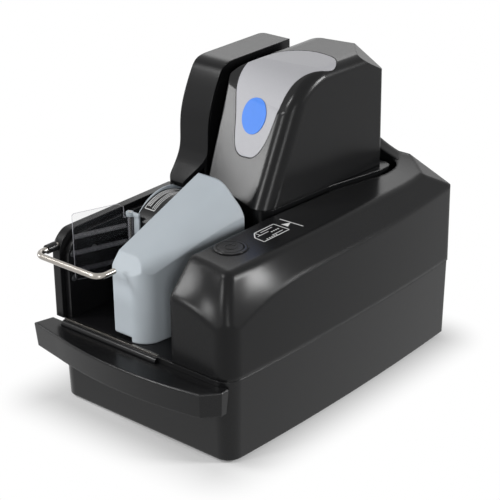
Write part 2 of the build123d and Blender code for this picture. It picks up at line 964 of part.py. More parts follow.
def upper_cover():
    """Fixed upper housing: right block, back wall and door post, round the open track."""
    with BuildPart() as cover:
        with BuildSketch(Plane.XY.offset(cover_bottom)):
            add(footprint())
        extrude(amount=block_top - cover_bottom)
        add(rear_ramp())
        add(side_scoop(), mode=Mode.SUBTRACT)
        add(nose_scoop(), mode=Mode.SUBTRACT)
        split(bisect_by=corner_facet(), keep=Keep.BOTTOM)
        soft_edges = cover.edges().filter_by(is_soft_edge)
        fillet(soft_edges, soft_radius)
        add(rear_wall())
        with BuildSketch(Plane.XY.offset(cover_bottom)):
            add(open_plan())
        extrude(amount=rear_wall_top, mode=Mode.SUBTRACT)
        add(block_hollow(), mode=Mode.SUBTRACT)
        with BuildSketch(Plane.XY.offset(plate_top)):
            with Locations((right - post_inset, front + 40), (right - post_inset, back - 40)):
                Circle(cover_post_radius)
        extrude(amount=cover_post_top - plate_top)
        with BuildSketch(Plane.XY.offset(plate_top)):
            with Locations((left + door_width / 2, back - 12)):
                Circle(cover_post_radius)
        extrude(amount=cover_bottom - plate_top + 1)
        for x, y, width in (
            (separator_spot[0], separator_spot[1], 2 * feed_radius + 2),
            (right_pinch_spot[0], right_pinch_spot[1], 2 * right_pinch_radius + 4),
        ):
            slot = window(x, y, width, cover_bottom - 1, roller_top + 4)
            add(slot, mode=Mode.SUBTRACT)
        with BuildSketch(Plane.XY.offset(block_top)):
            with Locations(button_spot):
                Circle(bezel_cup_radius + running_gap)
        extrude(amount=cup_bottom - block_top - seat_gap, mode=Mode.SUBTRACT)
        for level in knuckle_levels:
            with BuildSketch(Plane.XY.offset(level - knuckle_half)):
                with Locations(hinge_spot):
                    Circle(knuckle_radius)
                    Rectangle(
                        5.0,
                        door_back - hinge_spot[1] + 2,
                        align=(Align.CENTER, Align.MIN),
                    )
                    Circle(hinge_pin_radius, mode=Mode.SUBTRACT)
            extrude(amount=2 * knuckle_half)
    return cover.part


write(upper_cover(), "upper_cover")


# ---------------------------------------------------------------- sensor tower
island_top = hood_lip - seat_gap
island_wall = 2.5
hood_wall = 3.0
insert_thickness = 1.2
insert_gap = 0.3
badge_radius = 13.0
badge_across = 37.2
badge_height = 0.4
crest_radius = 8.0
spigot_height = 5.0
loft_top = hood_top + 14.0
sensor_low = floor_top + 2.0
sensor_high = hood_lip - 7.5
sensor_front = front + 159.6
sensor_width = 18.0
glass_width = 12.0
glass_thickness = 1.5
head_y = front + 123.6


def quad(level, inset, corner):
    """Rounded four-sided section of the hood at one height; its front leans back with height."""
    rise = level - hood_lip
    side = (tower_right_back - tower_right_front) / (tower_back - tower_front_right)
    back_left = tower_front_left + prow_lean_left * rise
    back_right = tower_front_right + prow_lean_right * rise
    front_x = tower_right_front + side * prow_lean_right * rise
    with BuildSketch() as section:
        with BuildLine():
            Polyline(
                (tower_left + inset, back_left + 1.2 * inset),
                (front_x - inset, back_right + 1.5 * inset),
                (tower_right_back - inset, tower_back - inset),
                (tower_left + inset, tower_back - inset),
                close=True,
            )
        make_face()
        fillet(section.vertices().sort_by(Axis.Y)[1:], max(3.5 - inset, 0.8))
        prow = section.vertices().filter_by(lambda v: v.X > tower_left + 40)
        fillet(prow.sort_by(Axis.Y)[0], corner)
    return section.sketch


def crown(inset):
    """Front view of the hood's top: a low left shoulder, then a gentle rise to the right."""
    shoulder = hood_top - 12.0 - inset
    ridge = hood_top - 2.3 - inset
    with BuildSketch() as view:
        with BuildLine():
            ThreePointArc(
                (tower_left + inset - 3, shoulder - 7),
                (tower_left + 9.6, shoulder + 5.2),
                (tower_left + 26.5, ridge),
            )
            Polyline(
                (tower_left + 26.5, ridge),
                (tower_right_front - 6, hood_top - inset),
                (tower_right_back + 30, hood_top - inset),
                (tower_right_back + 30, hood_lip - 5),
                (tower_left + inset - 3, hood_lip - 5),
                (tower_left + inset - 3, shoulder - 7),
            )
        make_face()
    return view.sketch


def brow(inset):
    """Round brow between the leaning front and the top, wider on the right."""
    with BuildPart() as block:
        for x, foot, lean, radius, top in (
            (tower_left - 1, tower_front_left, prow_lean_left, 35.0, hood_top - 1.5 - inset),
            (tower_right_back, tower_front_right, prow_lean_right, 48.0, hood_top + 1 - inset),
        ):
            tilt = atan2(lean, 1) + radians(3.5)
            low = top - radius * (1 - sin(tilt))
            start = foot + lean * (low - hood_lip) + 1.35 * inset
            end = start + radius * cos(tilt)
            middle = (tilt + radians(90)) / 2
            halfway = (end - radius * cos(middle), top - radius * (1 - sin(middle)))
            with BuildSketch(Plane.YZ.offset(x)):
                with BuildLine():
                    ThreePointArc((start, low), halfway, (end, top))
                    Polyline(
                        (end, top),
                        (back + 20, top),
                        (back + 20, hood_lip - 5),
                        (start - (low - hood_lip + 5), hood_lip - 5),
                        (start, low),
                    )
                make_face()
        loft(ruled=True)
    return block.part


def rear_facet(inset):
    """Plane of the small facet across the hood's rear right top corner."""
    one = Vector(tower_right_back - 1.5, tower_back - 24.7, hood_top - 2.1 - inset)
    two = Vector(tower_right_back - 23.7, tower_back, hood_top - 2.4 - inset)
    three = Vector(tower_right_back - 0.3, tower_back - 0.8, hood_top - 15.1 - inset)
    normal = (two - one).cross(three - one).normalized()
    if normal.Z < 0:
        normal = normal * -1
    return Plane(origin=one, x_dir=(two - one).normalized(), z_dir=normal)


def is_crest_edge(edge, inset):
    """True for the hood's edges where its right side rolls over into the brow and the top."""
    spot = edge.center()
    on_side = spot.X > tower_right_front + 3 - inset or spot.Z < hood_top - 1 - inset
    reach = spot.X > tower_right_front - 12 - inset and spot.Y < tower_back - 25
    return on_side and reach and edge.bounding_box().min.Z > hood_lip + 20


def hood_block(inset):
    """Solid the shape of the hood, drawn in by an inset."""
    with BuildPart() as block:
        for level in (hood_lip, loft_top):
            with BuildSketch(Plane.XY.offset(level)):
                add(quad(level, inset, 11.0 - inset))
        loft(ruled=True)
        add(brow(inset), mode=Mode.INTERSECT)
        with BuildSketch(Plane.XZ.offset(-(front - 30))):
            add(crown(inset))
        extrude(amount=-(body_depth + 60), mode=Mode.INTERSECT)
        split(bisect_by=rear_facet(inset), keep=Keep.BOTTOM)
        crest = block.edges().filter_by(lambda edge: is_crest_edge(edge, inset))
        fillet(crest, crest_radius - inset)
    return block.part


def island_plan(inset):
    """Plan of the tower's base, which the document track runs round."""
    with BuildSketch() as plan:
        with BuildLine():
            Polyline(
                (tower_left + inset, tower_front_left + 2.2 + 1.2 * inset),
                (tower_right_front - 0.8 - inset, tower_front_right + 2.0 + 1.5 * inset),
                (tower_right_front + 3.3 - inset, front + 168.6),
                (tower_right_front + 13.5 - inset, front + 220.6),
                (tower_right_front + 13.5 - inset, island_back - inset),
                (tower_left + inset, island_back - inset),
                close=True,
            )
        make_face()
        fillet(plan.vertices().filter_by(lambda v: v.Y > island_back - inset - 1), 8.0)
        prow = plan.vertices().filter_by(lambda v: v.X > tower_left + 40)
        fillet(prow.sort_by(Axis.Y)[0], 9.0)
    return plan.sketch


def tower_base():
    """Hollow island in the middle of the track, with openings for rollers and sensors."""
    side = tower_left + island_wall / 2
    with BuildPart() as base:
        with BuildSketch(Plane.XY.offset(floor_top)):
            add(island_plan(0))
        extrude(amount=island_top - floor_top)
        with BuildSketch(Plane.XY.offset(island_top)):
            add(quad(hood_lip + spigot_height, hood_wall + seat_gap, 8.0))
        extrude(amount=spigot_height)
        with BuildSketch(Plane.XY.offset(island_top - island_wall)):
            add(quad(hood_lip + spigot_height, hood_wall + seat_gap + island_wall, 6.0))
        extrude(amount=spigot_height + island_wall, mode=Mode.SUBTRACT)
        with BuildSketch(Plane.XY.offset(floor_top)):
            add(island_plan(island_wall))
        extrude(amount=island_top - island_wall - floor_top, mode=Mode.SUBTRACT)
        for _, y in (left_drive_spot, exit_drive_spot):
            add(window(side, y, 17.0, roller_bottom - 1, roller_top + 1), mode=Mode.SUBTRACT)
        add(
            window(side, sensor_front, glass_width, sensor_low, sensor_high),
            mode=Mode.SUBTRACT,
        )
        x, y = right_drive_spot
        add(window(x + 10, y, 17.0, roller_bottom - 1, roller_top + 1), mode=Mode.SUBTRACT)
        add(
            window(tower_right_front - 0.5, head_y, 11.0, 72.0, 87.0),
            mode=Mode.SUBTRACT,
        )
    return base.part


def sensor(x, y, side):
    """Contact image sensor that sits behind its glass; side is the way it faces."""
    with BuildPart() as unit:
        with Locations((x, y, sensor_low - 1.5)):
            Box(
                11.0,
                sensor_width,
                sensor_high - sensor_low + 3,
                align=(Align.MAX if side > 0 else Align.MIN, Align.CENTER, Align.MIN),
            )
    return unit.part


def glass(x, y):
    """Sensor's window glass, flush with the wall of the track."""
    with BuildPart() as pane:
        with Locations((x, y, sensor_low)):
            Box(
                glass_thickness,
                glass_width,
                sensor_high - sensor_low,
                align=(Align.MIN, Align.CENTER, Align.MIN),
            )
    return pane.part


def magnetic_head():
    """Reading head for magnetic ink, which just stands out into the track."""
    face = tower_right_front + 1.2
    with BuildPart() as head:
        with Locations((face - 14.0, head_y, 72.3)):
            Box(14.0, 10.4, 14.4, align=(Align.MIN, Align.CENTER, Align.MIN))
        nose = head.faces().sort_by(Axis.X)[-1].edges().filter_by(Axis.Z)
        fillet(nose, 3.0)
        with Locations((face - 18.0, head_y, 70.0)):
            Box(4.0, 18.0, 19.0, align=(Align.MIN, Align.CENTER, Align.MIN))
        with Locations((face - 18.0, head_y, floor_top)):
            Box(4.0, 6.0, 10.0, align=(Align.MIN, Align.CENTER, Align.MIN))
    return head.part


insert_centre = Vector(tower_left + 40.0, hood_top - 56.0)
insert_points = [
    insert_centre + Vector(-3.0, -45.7),
    insert_centre + Vector(-14.0, -41.6),
    insert_centre + Vector(-21.7, -22.0),
    insert_centre + Vector(-27.5, -5.0),
    insert_centre + Vector(-30.0, 12.0),
    insert_centre + Vector(-25.5, 31.0),
    insert_centre + Vector(-8.0, 45.5),
    insert_centre + Vector(13.5, 46.3),
    insert_centre + Vector(31.5, 38.5),
    insert_centre + Vector(34.6, 31.5),
    insert_centre + Vector(26.5, 17.5),
    insert_centre + Vector(21.0, -3.0),
    insert_centre + Vector(18.0, -26.0),
    insert_centre + Vector(13.0, -40.0),
    insert_centre + Vector(6.5, -45.5),
]


def insert_prism(grow):
    """Prism through the hood with the outline of the pale insert, grown by a gap."""
    slope = Plane(origin=(0, 0, 0), x_dir=(1, 0, 0), z_dir=(0, -1, 1))
    with BuildPart() as prism:
        with BuildSketch(slope.offset(60)):
            with BuildLine():
                Spline(
                    [p + (p - insert_centre).normalized() * grow for p in insert_points],
                    periodic=True,
                )
            make_face()
        extrude(amount=140)
    return prism.part


def tower_hood():
    """Tall lid of the tower, with a shallow seat for the pale insert."""
    with BuildPart() as hood:
        add(hood_block(0))
        add(hood_block(hood_wall), mode=Mode.SUBTRACT)
    seat = insert_prism(insert_gap) - hood_block(insert_thickness)
    return hood.part - seat


def tower_insert():
    """Pale insert that follows the hood's front and top."""
    with BuildPart() as insert:
        add(hood_block(0))
        add(hood_block(insert_thickness), mode=Mode.SUBTRACT)
        add(insert_prism(0), mode=Mode.INTERSECT)
    return insert.part


def badge_disc():
    """Blank round badge on the insert."""
    level = hood_top - 33.4
    share = badge_across / tower_width_front
    lean = prow_lean_left + share * (prow_lean_right - prow_lean_left)
    foot = tower_front_left + share * (tower_front_right - tower_front_left)
    seat = Plane(
        origin=(tower_left + badge_across, foot + lean * (level - hood_lip), level),
        x_dir=(1, 0, 0),
        z_dir=(-0.235, -0.892, 0.385),
    )
    with BuildPart() as badge:
        with BuildSketch(seat.offset(-6)):
            Circle(badge_radius)
        extrude(amount=12)
        add(hood_block(-badge_height), mode=Mode.INTERSECT)
        add(hood_block(0), mode=Mode.SUBTRACT)
    return badge.part


write(tower_base(), "tower_base")
write(tower_hood(), "tower_hood")
write(tower_insert(), "tower_insert")
write(badge_disc(), "badge_disc")
write(sensor(tower_left + island_wall, sensor_front, -1), "front_image_sensor")
write(glass(tower_left, sensor_front), "front_sensor_glass")
write(magnetic_head(), "magnetic_head")


# ---------------------------------------------------------------- track door
door_bottom = floor_top + seat_gap
door_skin = 2.6
door_liner_thickness = 1.5
door_chamfer = 13.0
door_sensor_y = front + 202.6
shelf_levels = (72.0, 100.0)


def door_outline(inset):
    """Side outline of the door: a rounded head that narrows to a waist, wider at the foot."""
    with BuildSketch() as outline:
        with BuildLine():
            y0, y1, top = door_front + inset, door_back - inset, door_top - inset
            foot, neck = wall_top + 1.3, door_top - 51.0
            Polyline((y1, door_bottom), (y0, door_bottom), (y0, foot))
            Spline(
                (y0, foot),
                (y0 + 7.8, foot + 10.9),
                (y0 + 13.2, neck - 12.5),
                (y0 + 14.3, neck),
                (y0 + 15.3, neck + 12.0),
                (y0 + 21.6, neck + 30.7),
                (y0 + 28.4, neck + 43.4 - inset),
                (y0 + 45.0, top),
                tangents=((0.6, 1), (1, 0)),
            )
            Polyline((y0 + 45.0, top), (y1, top), (y1, door_bottom))
        make_face()
    return outline.sketch


def liner_outline(inset):
    """Outline of the plate that closes the door's inner side."""
    with BuildSketch() as outline:
        with Locations((door_front + door_chamfer + 1.5 + inset, door_bottom + 1 + inset)):
            Rectangle(
                door_back - door_front - door_chamfer - 4.5 - 2 * inset,
                door_top - door_bottom - 14 - 2 * inset,
                align=(Align.MIN, Align.MIN),
            )
        add(door_outline(2.0 + inset), mode=Mode.INTERSECT)
    return outline.sketch


def track_door():
    """Tall hinged door over the track, hollow towards the tower."""
    inner = track_outer - door_liner_thickness
    with BuildPart() as door:
        with BuildSketch(Plane.YZ.offset(left)):
            add(door_outline(0))
        extrude(amount=door_width)
        with BuildSketch(Plane.XY.offset(door_bottom)):
            with BuildLine():
                Polyline(
                    (left, door_front),
                    (track_outer - door_chamfer, door_front),
                    (track_outer, door_front + door_chamfer),
                    (track_outer, door_back),
                    (left, door_back),
                    close=True,
                )
            make_face()
            fillet(vertices().sort_by(Axis.Y)[:2].sort_by(Axis.X)[0], 3.0)
            rear = vertices().filter_by(lambda v: v.Y > door_back - 1)
            fillet(rear.sort_by(Axis.X)[0], door_back - hinge_spot[1])
        extrude(amount=door_top, mode=Mode.INTERSECT)
        with BuildSketch(Plane.YZ.offset(left + door_skin)):
            add(door_outline(door_skin + 1.0))
        extrude(amount=inner - left - door_skin, mode=Mode.SUBTRACT)
        with BuildSketch(Plane.YZ.offset(inner)):
            add(liner_outline(-seat_gap / 3))
        extrude(amount=door_liner_thickness, mode=Mode.SUBTRACT)
        with BuildSketch(Plane.XY.offset(door_bottom)):
            with Locations(hinge_spot):
                Circle(4.0)
        extrude(amount=door_top - door_bottom - 3)
        for level in shelf_levels:
            with Locations((left + 1, door_front + 2, level)):
                Box(
                    inner - left - 1,
                    70.0,
                    3.0,
                    align=(Align.MIN, Align.MIN, Align.MIN),
                )
        with BuildSketch(Plane.XY.offset(door_bottom)):
            with BuildLine():
                Polyline(
                    (track_outer - door_chamfer, door_front - 5),
                    (track_outer - door_chamfer, door_front),
                    (track_outer, door_front + door_chamfer),
                    (track_outer + 5, door_front + door_chamfer),
                    (track_outer + 5, door_front - 5),
                    close=True,
                )
            make_face()
        extrude(amount=door_top, mode=Mode.SUBTRACT)
        with BuildSketch(Plane.XY.offset(door_bottom - 1)):
            with Locations(hinge_spot):
                Circle(hinge_pin_radius + running_gap)
        extrude(amount=hinge_pin_top - door_bottom + 2, mode=Mode.SUBTRACT)
        for level in knuckle_levels:
            with Locations((left - 1, door_back + 1, level)):
                Box(
                    10.0,
                    10.5,
                    2 * (knuckle_half + seat_gap),
                    align=(Align.MIN, Align.MAX, Align.CENTER),
                    mode=Mode.SUBTRACT,
                )
        with BuildSketch(Plane.XY.offset(shelf_levels[0] - 1)):
            with Locations(left_pinch_spot, exit_pinch_spot):
                Circle(pinch_shaft_radius + running_gap)
        extrude(amount=shelf_levels[1] - shelf_levels[0] + 5, mode=Mode.SUBTRACT)
    return door.part


def door_liner():
    """Smooth inner plate of the door, with windows for the rollers and the sensor."""
    inner = track_outer - door_liner_thickness
    with BuildPart() as liner:
        with BuildSketch(Plane.YZ.offset(inner)):
            add(liner_outline(0))
            for _, y in (left_pinch_spot, exit_pinch_spot):
                with Locations((y, shelf_levels[0] - 1)):
                    Rectangle(
                        2 * pinch_radius + 2,
                        shelf_levels[1] - shelf_levels[0] + 5,
                        align=(Align.CENTER, Align.MIN),
                        mode=Mode.SUBTRACT,
                    )
            with Locations((door_sensor_y, sensor_low)):
                Rectangle(
                    glass_width,
                    sensor_high - sensor_low,
                    align=(Align.CENTER, Align.MIN),
                    mode=Mode.SUBTRACT,
                )
        extrude(amount=door_liner_thickness)
    return liner.part


def hinge_pin():
    """Long pin through the cover's two knuckles and the door."""
    with BuildPart() as pin:
        with Locations((*hinge_spot, door_bottom)):
            Cylinder(
                hinge_pin_radius,
                hinge_pin_top - door_bottom,
                align=(Align.CENTER, Align.CENTER, Align.MIN),
            )
    return pin.part


write(track_door(), "track_door")
write(door_liner(), "door_liner")
write(hinge_pin(), "hinge_pin")
write(
    sensor(track_outer - door_liner_thickness, door_sensor_y, 1),
    "rear_image_sensor",
)
write(glass(track_outer - glass_thickness, door_sensor_y), "rear_sensor_glass")
for pinch_name, pinch_spot in (
    ("left_pinch_roller", left_pinch_spot),
    ("exit_pinch_roller", exit_pinch_spot),
):
    write(
        pinch_roller(
            pinch_spot,
            pinch_radius,
            shelf_levels[0] + 3.3,
            shelf_levels[1] - 0.3,
            shelf_levels[0],
            shelf_levels[1] + 3,
        ),
        pinch_name,
    )


# ---------------------------------------------------------------- endorser, divider and gate
endorser_left = tower_left + 1.5
endorser_width = 17.0
endorser_front = front + 48.0
endorser_back = front + 115.0
cartridge_height = 52.0
side_plate_thickness = 1.4
holder_width = 4.5
divider_thickness = 1.2
divider_pin_radius = 1.0
divider_pivot = (endorser_left - 4.0, endorser_front - 1.5)
divider_lean = 20.0
divider_length = 43.0
divider_tube_bottom = 89.0
divider_tube_top = 130.0
divider_top = 141.0
ear_height = 3.0
gate_length = 14.0
gate_thickness = 1.6


def arched(foot, low, crown_top, back_end):
    """Side outline of the endorser's housing under its arched lid."""
    with BuildSketch() as outline:
        with BuildLine():
            Polyline((foot, low), (foot, crown_top - 13.0))
            ThreePointArc(
                (foot, crown_top - 13.0),
                (foot + 16.0, crown_top - 1.6),
                (foot + 37.0, crown_top - 1.0),
            )
            Polyline(
                (foot + 37.0, crown_top - 1.0),
                (back_end, crown_top - 10.0),
                (back_end, low),
                (foot, low),
            )
        make_face()
    return outline.sketch


def endorser_housing():
    """Dark arched housing of the endorser, open below for the print cartridge."""
    with BuildPart() as housing:
        with BuildSketch(Plane.YZ.offset(endorser_left)):
            add(arched(endorser_front, floor_top, 140.5, endorser_back))
        extrude(amount=endorser_width)
        with Locations((endorser_left + 2, endorser_front + 8, floor_top)):
            Box(
                endorser_width - 4,
                44.0,
                cartridge_height + 8,
                align=(Align.MIN, Align.MIN, Align.MIN),
                mode=Mode.SUBTRACT,
            )
    return housing.part


def print_cartridge():
    """Ink cartridge inside the endorser."""
    with BuildPart() as cartridge:
        with Locations((endorser_left + 2.5, endorser_front + 9, floor_top)):
            Box(
                endorser_width - 5,
                40.0,
                cartridge_height,
                align=(Align.MIN, Align.MIN, Align.MIN),
            )
        upright = cartridge.edges().filter_by(Axis.Z)
        fillet(upright, 1.5)
    return cartridge.part


def endorser_side_plate():
    """Pale crescent plate on the endorser's pocket side."""
    with BuildPart() as plate:
        with BuildSketch(Plane.YZ.offset(endorser_left - side_plate_thickness)):
            add(arched(endorser_front + 3, 96.0, 142.0, endorser_front + 56))
        extrude(amount=side_plate_thickness)
    return plate.part


def divider_sheet(low, high, start, end):
    """Side outline of the clear divider, measured forward from its pivot."""
    with BuildSketch() as outline:
        with BuildLine():
            Polyline(
                (-start, low + 3),
                (-start, high),
                (-9.0, high),
                (-4.5, high - 3.0),
                (-4.5, divider_tube_top),
                (-end, divider_tube_top),
                (-end, low),
                (-start, low + 3),
            )
        make_face()
        fillet(outline.vertices().filter_by(lambda v: v.X < -start + 1), 2.0)
    return outline.sketch


def pocket_divider():
    """Clear sheet that parts the two pockets, with three pairs of ribs, on its pivot tube."""
    lean = radians(divider_lean)
    swing = Plane(
        origin=(*divider_pivot, 0),
        x_dir=(sin(lean), cos(lean), 0),
        z_dir=(cos(lean), -sin(lean), 0),
    )
    with BuildPart() as divider:
        with BuildSketch(swing.offset(-divider_thickness / 2)):
            add(divider_sheet(divider_tube_bottom, divider_top, divider_length, 1.5))
        extrude(amount=divider_thickness)
        for level in (98.0, 111.0, 123.0):
            for step in (0.0, 1.7):
                with BuildSketch(swing.offset(-divider_thickness / 2 - 0.35)):
                    with Locations((-divider_length / 2 - 1, level + step)):
                        Rectangle(divider_length - 4, 0.7)
                extrude(amount=divider_thickness + 0.7)
        with Locations((*divider_pivot, divider_tube_bottom)):
            Cylinder(
                divider_pin_radius + 1.2,
                divider_tube_top - divider_tube_bottom,
                align=(Align.CENTER, Align.CENTER, Align.MIN),
            )
        with BuildSketch(Plane.XY.offset(85.0)):
            with Locations(divider_pivot):
                Circle(divider_pin_radius + running_gap)
        extrude(amount=60, mode=Mode.SUBTRACT)
    return divider.part


def divider_holder():
    """Pale bracket on the endorser's front that carries the divider's pin."""
    x, y = divider_pivot
    low = divider_tube_bottom - seat_gap - ear_height
    high = divider_tube_top + seat_gap
    with BuildPart() as holder:
        for level in (low, high):
            with BuildSketch(Plane.XY.offset(level)):
                with Locations(divider_pivot):
                    Circle(2.6)
                with Locations((x - 2.6, y)):
                    Rectangle(
                        endorser_left - x + 2.6 + holder_width,
                        endorser_front - y,
                        align=(Align.MIN, Align.MIN),
                    )
            extrude(amount=ear_height)
        with BuildSketch(Plane.XY.offset(low)):
            with Locations((endorser_left - 0.8, endorser_front)):
                Rectangle(holder_width + 0.8, 1.0, align=(Align.MIN, Align.MAX))
        extrude(amount=high + ear_height - low)
        with BuildSketch(Plane.XY.offset(low)):
            with Locations(divider_pivot):
                Circle(divider_pin_radius)
        extrude(amount=high + ear_height - low, mode=Mode.SUBTRACT)
    return holder.part


def divider_pin():
    """Pin that the divider swings on."""
    low = divider_tube_bottom - seat_gap - ear_height
    with BuildPart() as pin:
        with Locations((*divider_pivot, low)):
            Cylinder(
                divider_pin_radius,
                divider_tube_top + seat_gap + ear_height - low,
                align=(Align.CENTER, Align.CENTER, Align.MIN),
            )
    return pin.part


def diverter_gate():
    """Small flap at the end of the track that sends a cheque to one pocket or the other."""
    x, y = gate_spot
    with BuildPart() as gate:
        with BuildSketch(Plane.XY.offset(roller_bottom)):
            with BuildLine():
                Polyline(
                    (x - gate_thickness, y),
                    (x + gate_thickness, y),
                    (x + 0.5, y - gate_length),
                    (x - 0.5, y - gate_length),
                    close=True,
                )
            make_face()
            with Locations(gate_spot):
                Circle(gate_pin_radius + 1)
        extrude(amount=roller_top - roller_bottom)
        with BuildSketch(Plane.XY.offset(plate_top - 6)):
            with Locations(gate_spot):
                Circle(gate_pin_radius)
        extrude(amount=roller_bottom - plate_top + 7)
    return gate.part


write(endorser_housing(), "endorser_housing")
write(print_cartridge(), "print_cartridge")
write(endorser_side_plate(), "endorser_side_plate")
write(pocket_divider(), "pocket_divider")
write(divider_holder(), "divider_holder")
write(divider_pin(), "divider_pin")
write(diverter_gate(), "diverter_gate")


# ---------------------------------------------------------------- central cover
cover_left = left + 53.0
cover_front_y = front + 3.6
cover_back_y = front + 93.6
ridge_slope = 20.8
nose_round = 14.0
lift_wall = 2.2
nose_lift = 3.6


def central_plan(inset):
    """Plan of the central cover between the pocket and the hopper."""
    with BuildSketch() as plan:
        with BuildLine():
            Polyline(
                (cover_left + inset, cover_front_y + inset),
                (left + 83.2 - inset, cover_front_y + inset),
                (left + 94.5 - inset, cover_back_y - inset),
                (cover_left + inset, cover_back_y - inset),
                close=True,
            )
        make_face()
        nose = plan.vertices().sort_by(Axis.Y)[:2].sort_by(Axis.X)
        fillet(nose[1], nose_round - inset)
        nose = plan.vertices().filter_by(lambda v: v.X < cover_left + inset + 1)
        fillet(nose.sort_by(Axis.Y)[0], 4.0 - inset)
    return plan.sketch


def roof(inset):
    """Arched roof of the central cover, drawn along its falling ridge."""
    slope = radians(ridge_slope)
    fall = Vector(0, -cos(slope), -sin(slope))
    start = cover_back_y + 10
    top = block_top + 21.0 + 10 * tan(slope) - inset
    with BuildPart() as block:
        with BuildSketch(Plane.XZ.offset(-start)) as view:
            with BuildLine():
                x0, x1 = cover_left - 6, left + 95.0 - inset
                Polyline((x1, top - 150.0), (x0, top - 150.0), (x0, top))
                Polyline((x0, top), (cover_left + 14.0, top))
                Spline(
                    (cover_left + 14.0, top),
                    (cover_left + 23.6, top - 2.5),
                    (cover_left + 32.7, top - 10.6),
                    (x1, top - 24.5),
                    tangents=((1, 0), (0.25, -1)),
                )
                Line((x1, top - 24.5), (x1, top - 150.0))
            make_face()
        extrude(amount=135.0, dir=fall)
    return block.part


def central_block(inset):
    """Solid the shape of the central cover, drawn in by an inset."""
    with BuildPart() as block:
        with BuildSketch(Plane.XY.offset(floor_top + seat_gap)):
            add(central_plan(inset))
        extrude(amount=120.0)
        add(roof(inset), mode=Mode.INTERSECT)
        bevel = Plane(
            origin=(cover_left, cover_front_y + inset, 112.0 - 0.4 * inset),
            x_dir=(1, 0, 0),
            z_dir=(0, -1.1, 1),
        )
        split(bisect_by=bevel, keep=Keep.BOTTOM)
    return block.part


def central_cover():
    """Lift-off cover over the feeder, with a sloping arched roof."""
    with BuildPart() as cover:
        add(central_block(0))
        add(central_block(lift_wall), mode=Mode.SUBTRACT)
        with Locations((cover_left - 5, cover_front_y - 5, floor_top)):
            Box(23.0, 60.0, nose_lift + seat_gap, align=(Align.MIN,) * 3, mode=Mode.SUBTRACT)
        with Locations((feed_spot[0] - 2, feed_spot[1], floor_top)):
            Box(
                24.0,
                2 * feed_radius + 4,
                roller_top + 2 - floor_top,
                align=(Align.MIN, Align.CENTER, Align.MIN),
                mode=Mode.SUBTRACT,
            )
    return cover.part


write(central_cover(), "central_cover")


# ---------------------------------------------------------------- power button
def button_bezel():
    """Round bezel with a cup below it that guides the button."""
    with BuildPart() as bezel:
        with Locations((*button_spot, block_top)):
            Cylinder(bezel_radius, 0.9, align=(Align.CENTER, Align.CENTER, Align.MIN))
        fillet(bezel.edges().filter_by(GeomType.CIRCLE).sort_by(Axis.Z)[-1], 0.6)
        with Locations((*button_spot, cup_bottom)):
            Cylinder(
                bezel_cup_radius,
                block_top - cup_bottom,
                align=(Align.CENTER, Align.CENTER, Align.MIN),
            )
        with Locations((*button_spot, cup_bottom + 2)):
            Cylinder(
                button_radius + button_slide_gap,
                30,
                align=(Align.CENTER, Align.CENTER, Align.MIN),
                mode=Mode.SUBTRACT,
            )
    return bezel.part


def power_button():
    """Slightly dished round button."""
    with BuildPart() as button:
        with Locations((*button_spot, block_top - 3.6)):
            Cylinder(button_radius, 4.6, align=(Align.CENTER, Align.CENTER, Align.MIN))
        fillet(button.edges().filter_by(GeomType.CIRCLE).sort_by(Axis.Z)[-1], 0.8)
    return button.part


def button_switch():
    """Push switch under the button."""
    with BuildPart() as switch:
        with Locations((*button_spot, cup_bottom + 2)):
            Box(7, 7, 7, align=(Align.CENTER, Align.CENTER, Align.MIN))
            Cylinder(1.6, 10.4 - button_travel, align=(Align.CENTER, Align.CENTER, Align.MIN))
    return switch.part


write(button_bezel(), "button_bezel")
write(power_button(), "power_button")
write(button_switch(), "button_switch")
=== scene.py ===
# %% [markdown]
# # Dressing a desktop cheque scanner
#
# The scanner stands on a flat base. A tall sensor tower rises in the middle, a hinged door stands
# to its left, and a thick black block with a power button runs down its right side. The solids
# come from CAD. This lesson gives each of them its finish, adds the thin printed and moulded marks
# that CAD leaves out, and sets a camera and a few lamps.

# %% Load the solids
import json
import math

import bmesh
import bpy
from mathutils import Matrix, Vector
from mathutils.bvhtree import BVHTree


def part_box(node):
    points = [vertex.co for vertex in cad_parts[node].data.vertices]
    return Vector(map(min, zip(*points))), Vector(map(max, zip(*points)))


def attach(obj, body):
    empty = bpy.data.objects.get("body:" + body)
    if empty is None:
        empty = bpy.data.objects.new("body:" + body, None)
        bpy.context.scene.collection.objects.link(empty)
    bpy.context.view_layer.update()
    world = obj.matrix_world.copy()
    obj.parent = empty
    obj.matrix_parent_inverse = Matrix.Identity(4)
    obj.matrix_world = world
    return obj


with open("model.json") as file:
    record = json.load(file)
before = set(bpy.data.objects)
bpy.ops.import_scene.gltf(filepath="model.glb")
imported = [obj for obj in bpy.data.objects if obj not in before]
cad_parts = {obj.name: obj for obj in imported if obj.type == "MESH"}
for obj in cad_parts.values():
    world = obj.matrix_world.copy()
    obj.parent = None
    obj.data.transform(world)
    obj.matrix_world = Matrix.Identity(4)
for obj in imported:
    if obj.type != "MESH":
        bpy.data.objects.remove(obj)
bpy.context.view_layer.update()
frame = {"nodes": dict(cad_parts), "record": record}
nodes = frame["nodes"]

# %% [markdown]
# Sizes here are written in millimetres, as a maker would read them off a drawing, and turned into
# Blender's metres in one place.

# %% Millimetres
MM = 0.001


def mm(*numbers):
    """A point or a size given in millimetres, in metres."""
    return Vector(numbers) * MM


# %% [markdown]
# A material in Blender is a small graph. To write the sums of such a graph as sums, one class
# wraps a socket and gives it plus, minus, times, the larger of two and a soft step, so that
# `1 - mask` adds the Math node by itself.

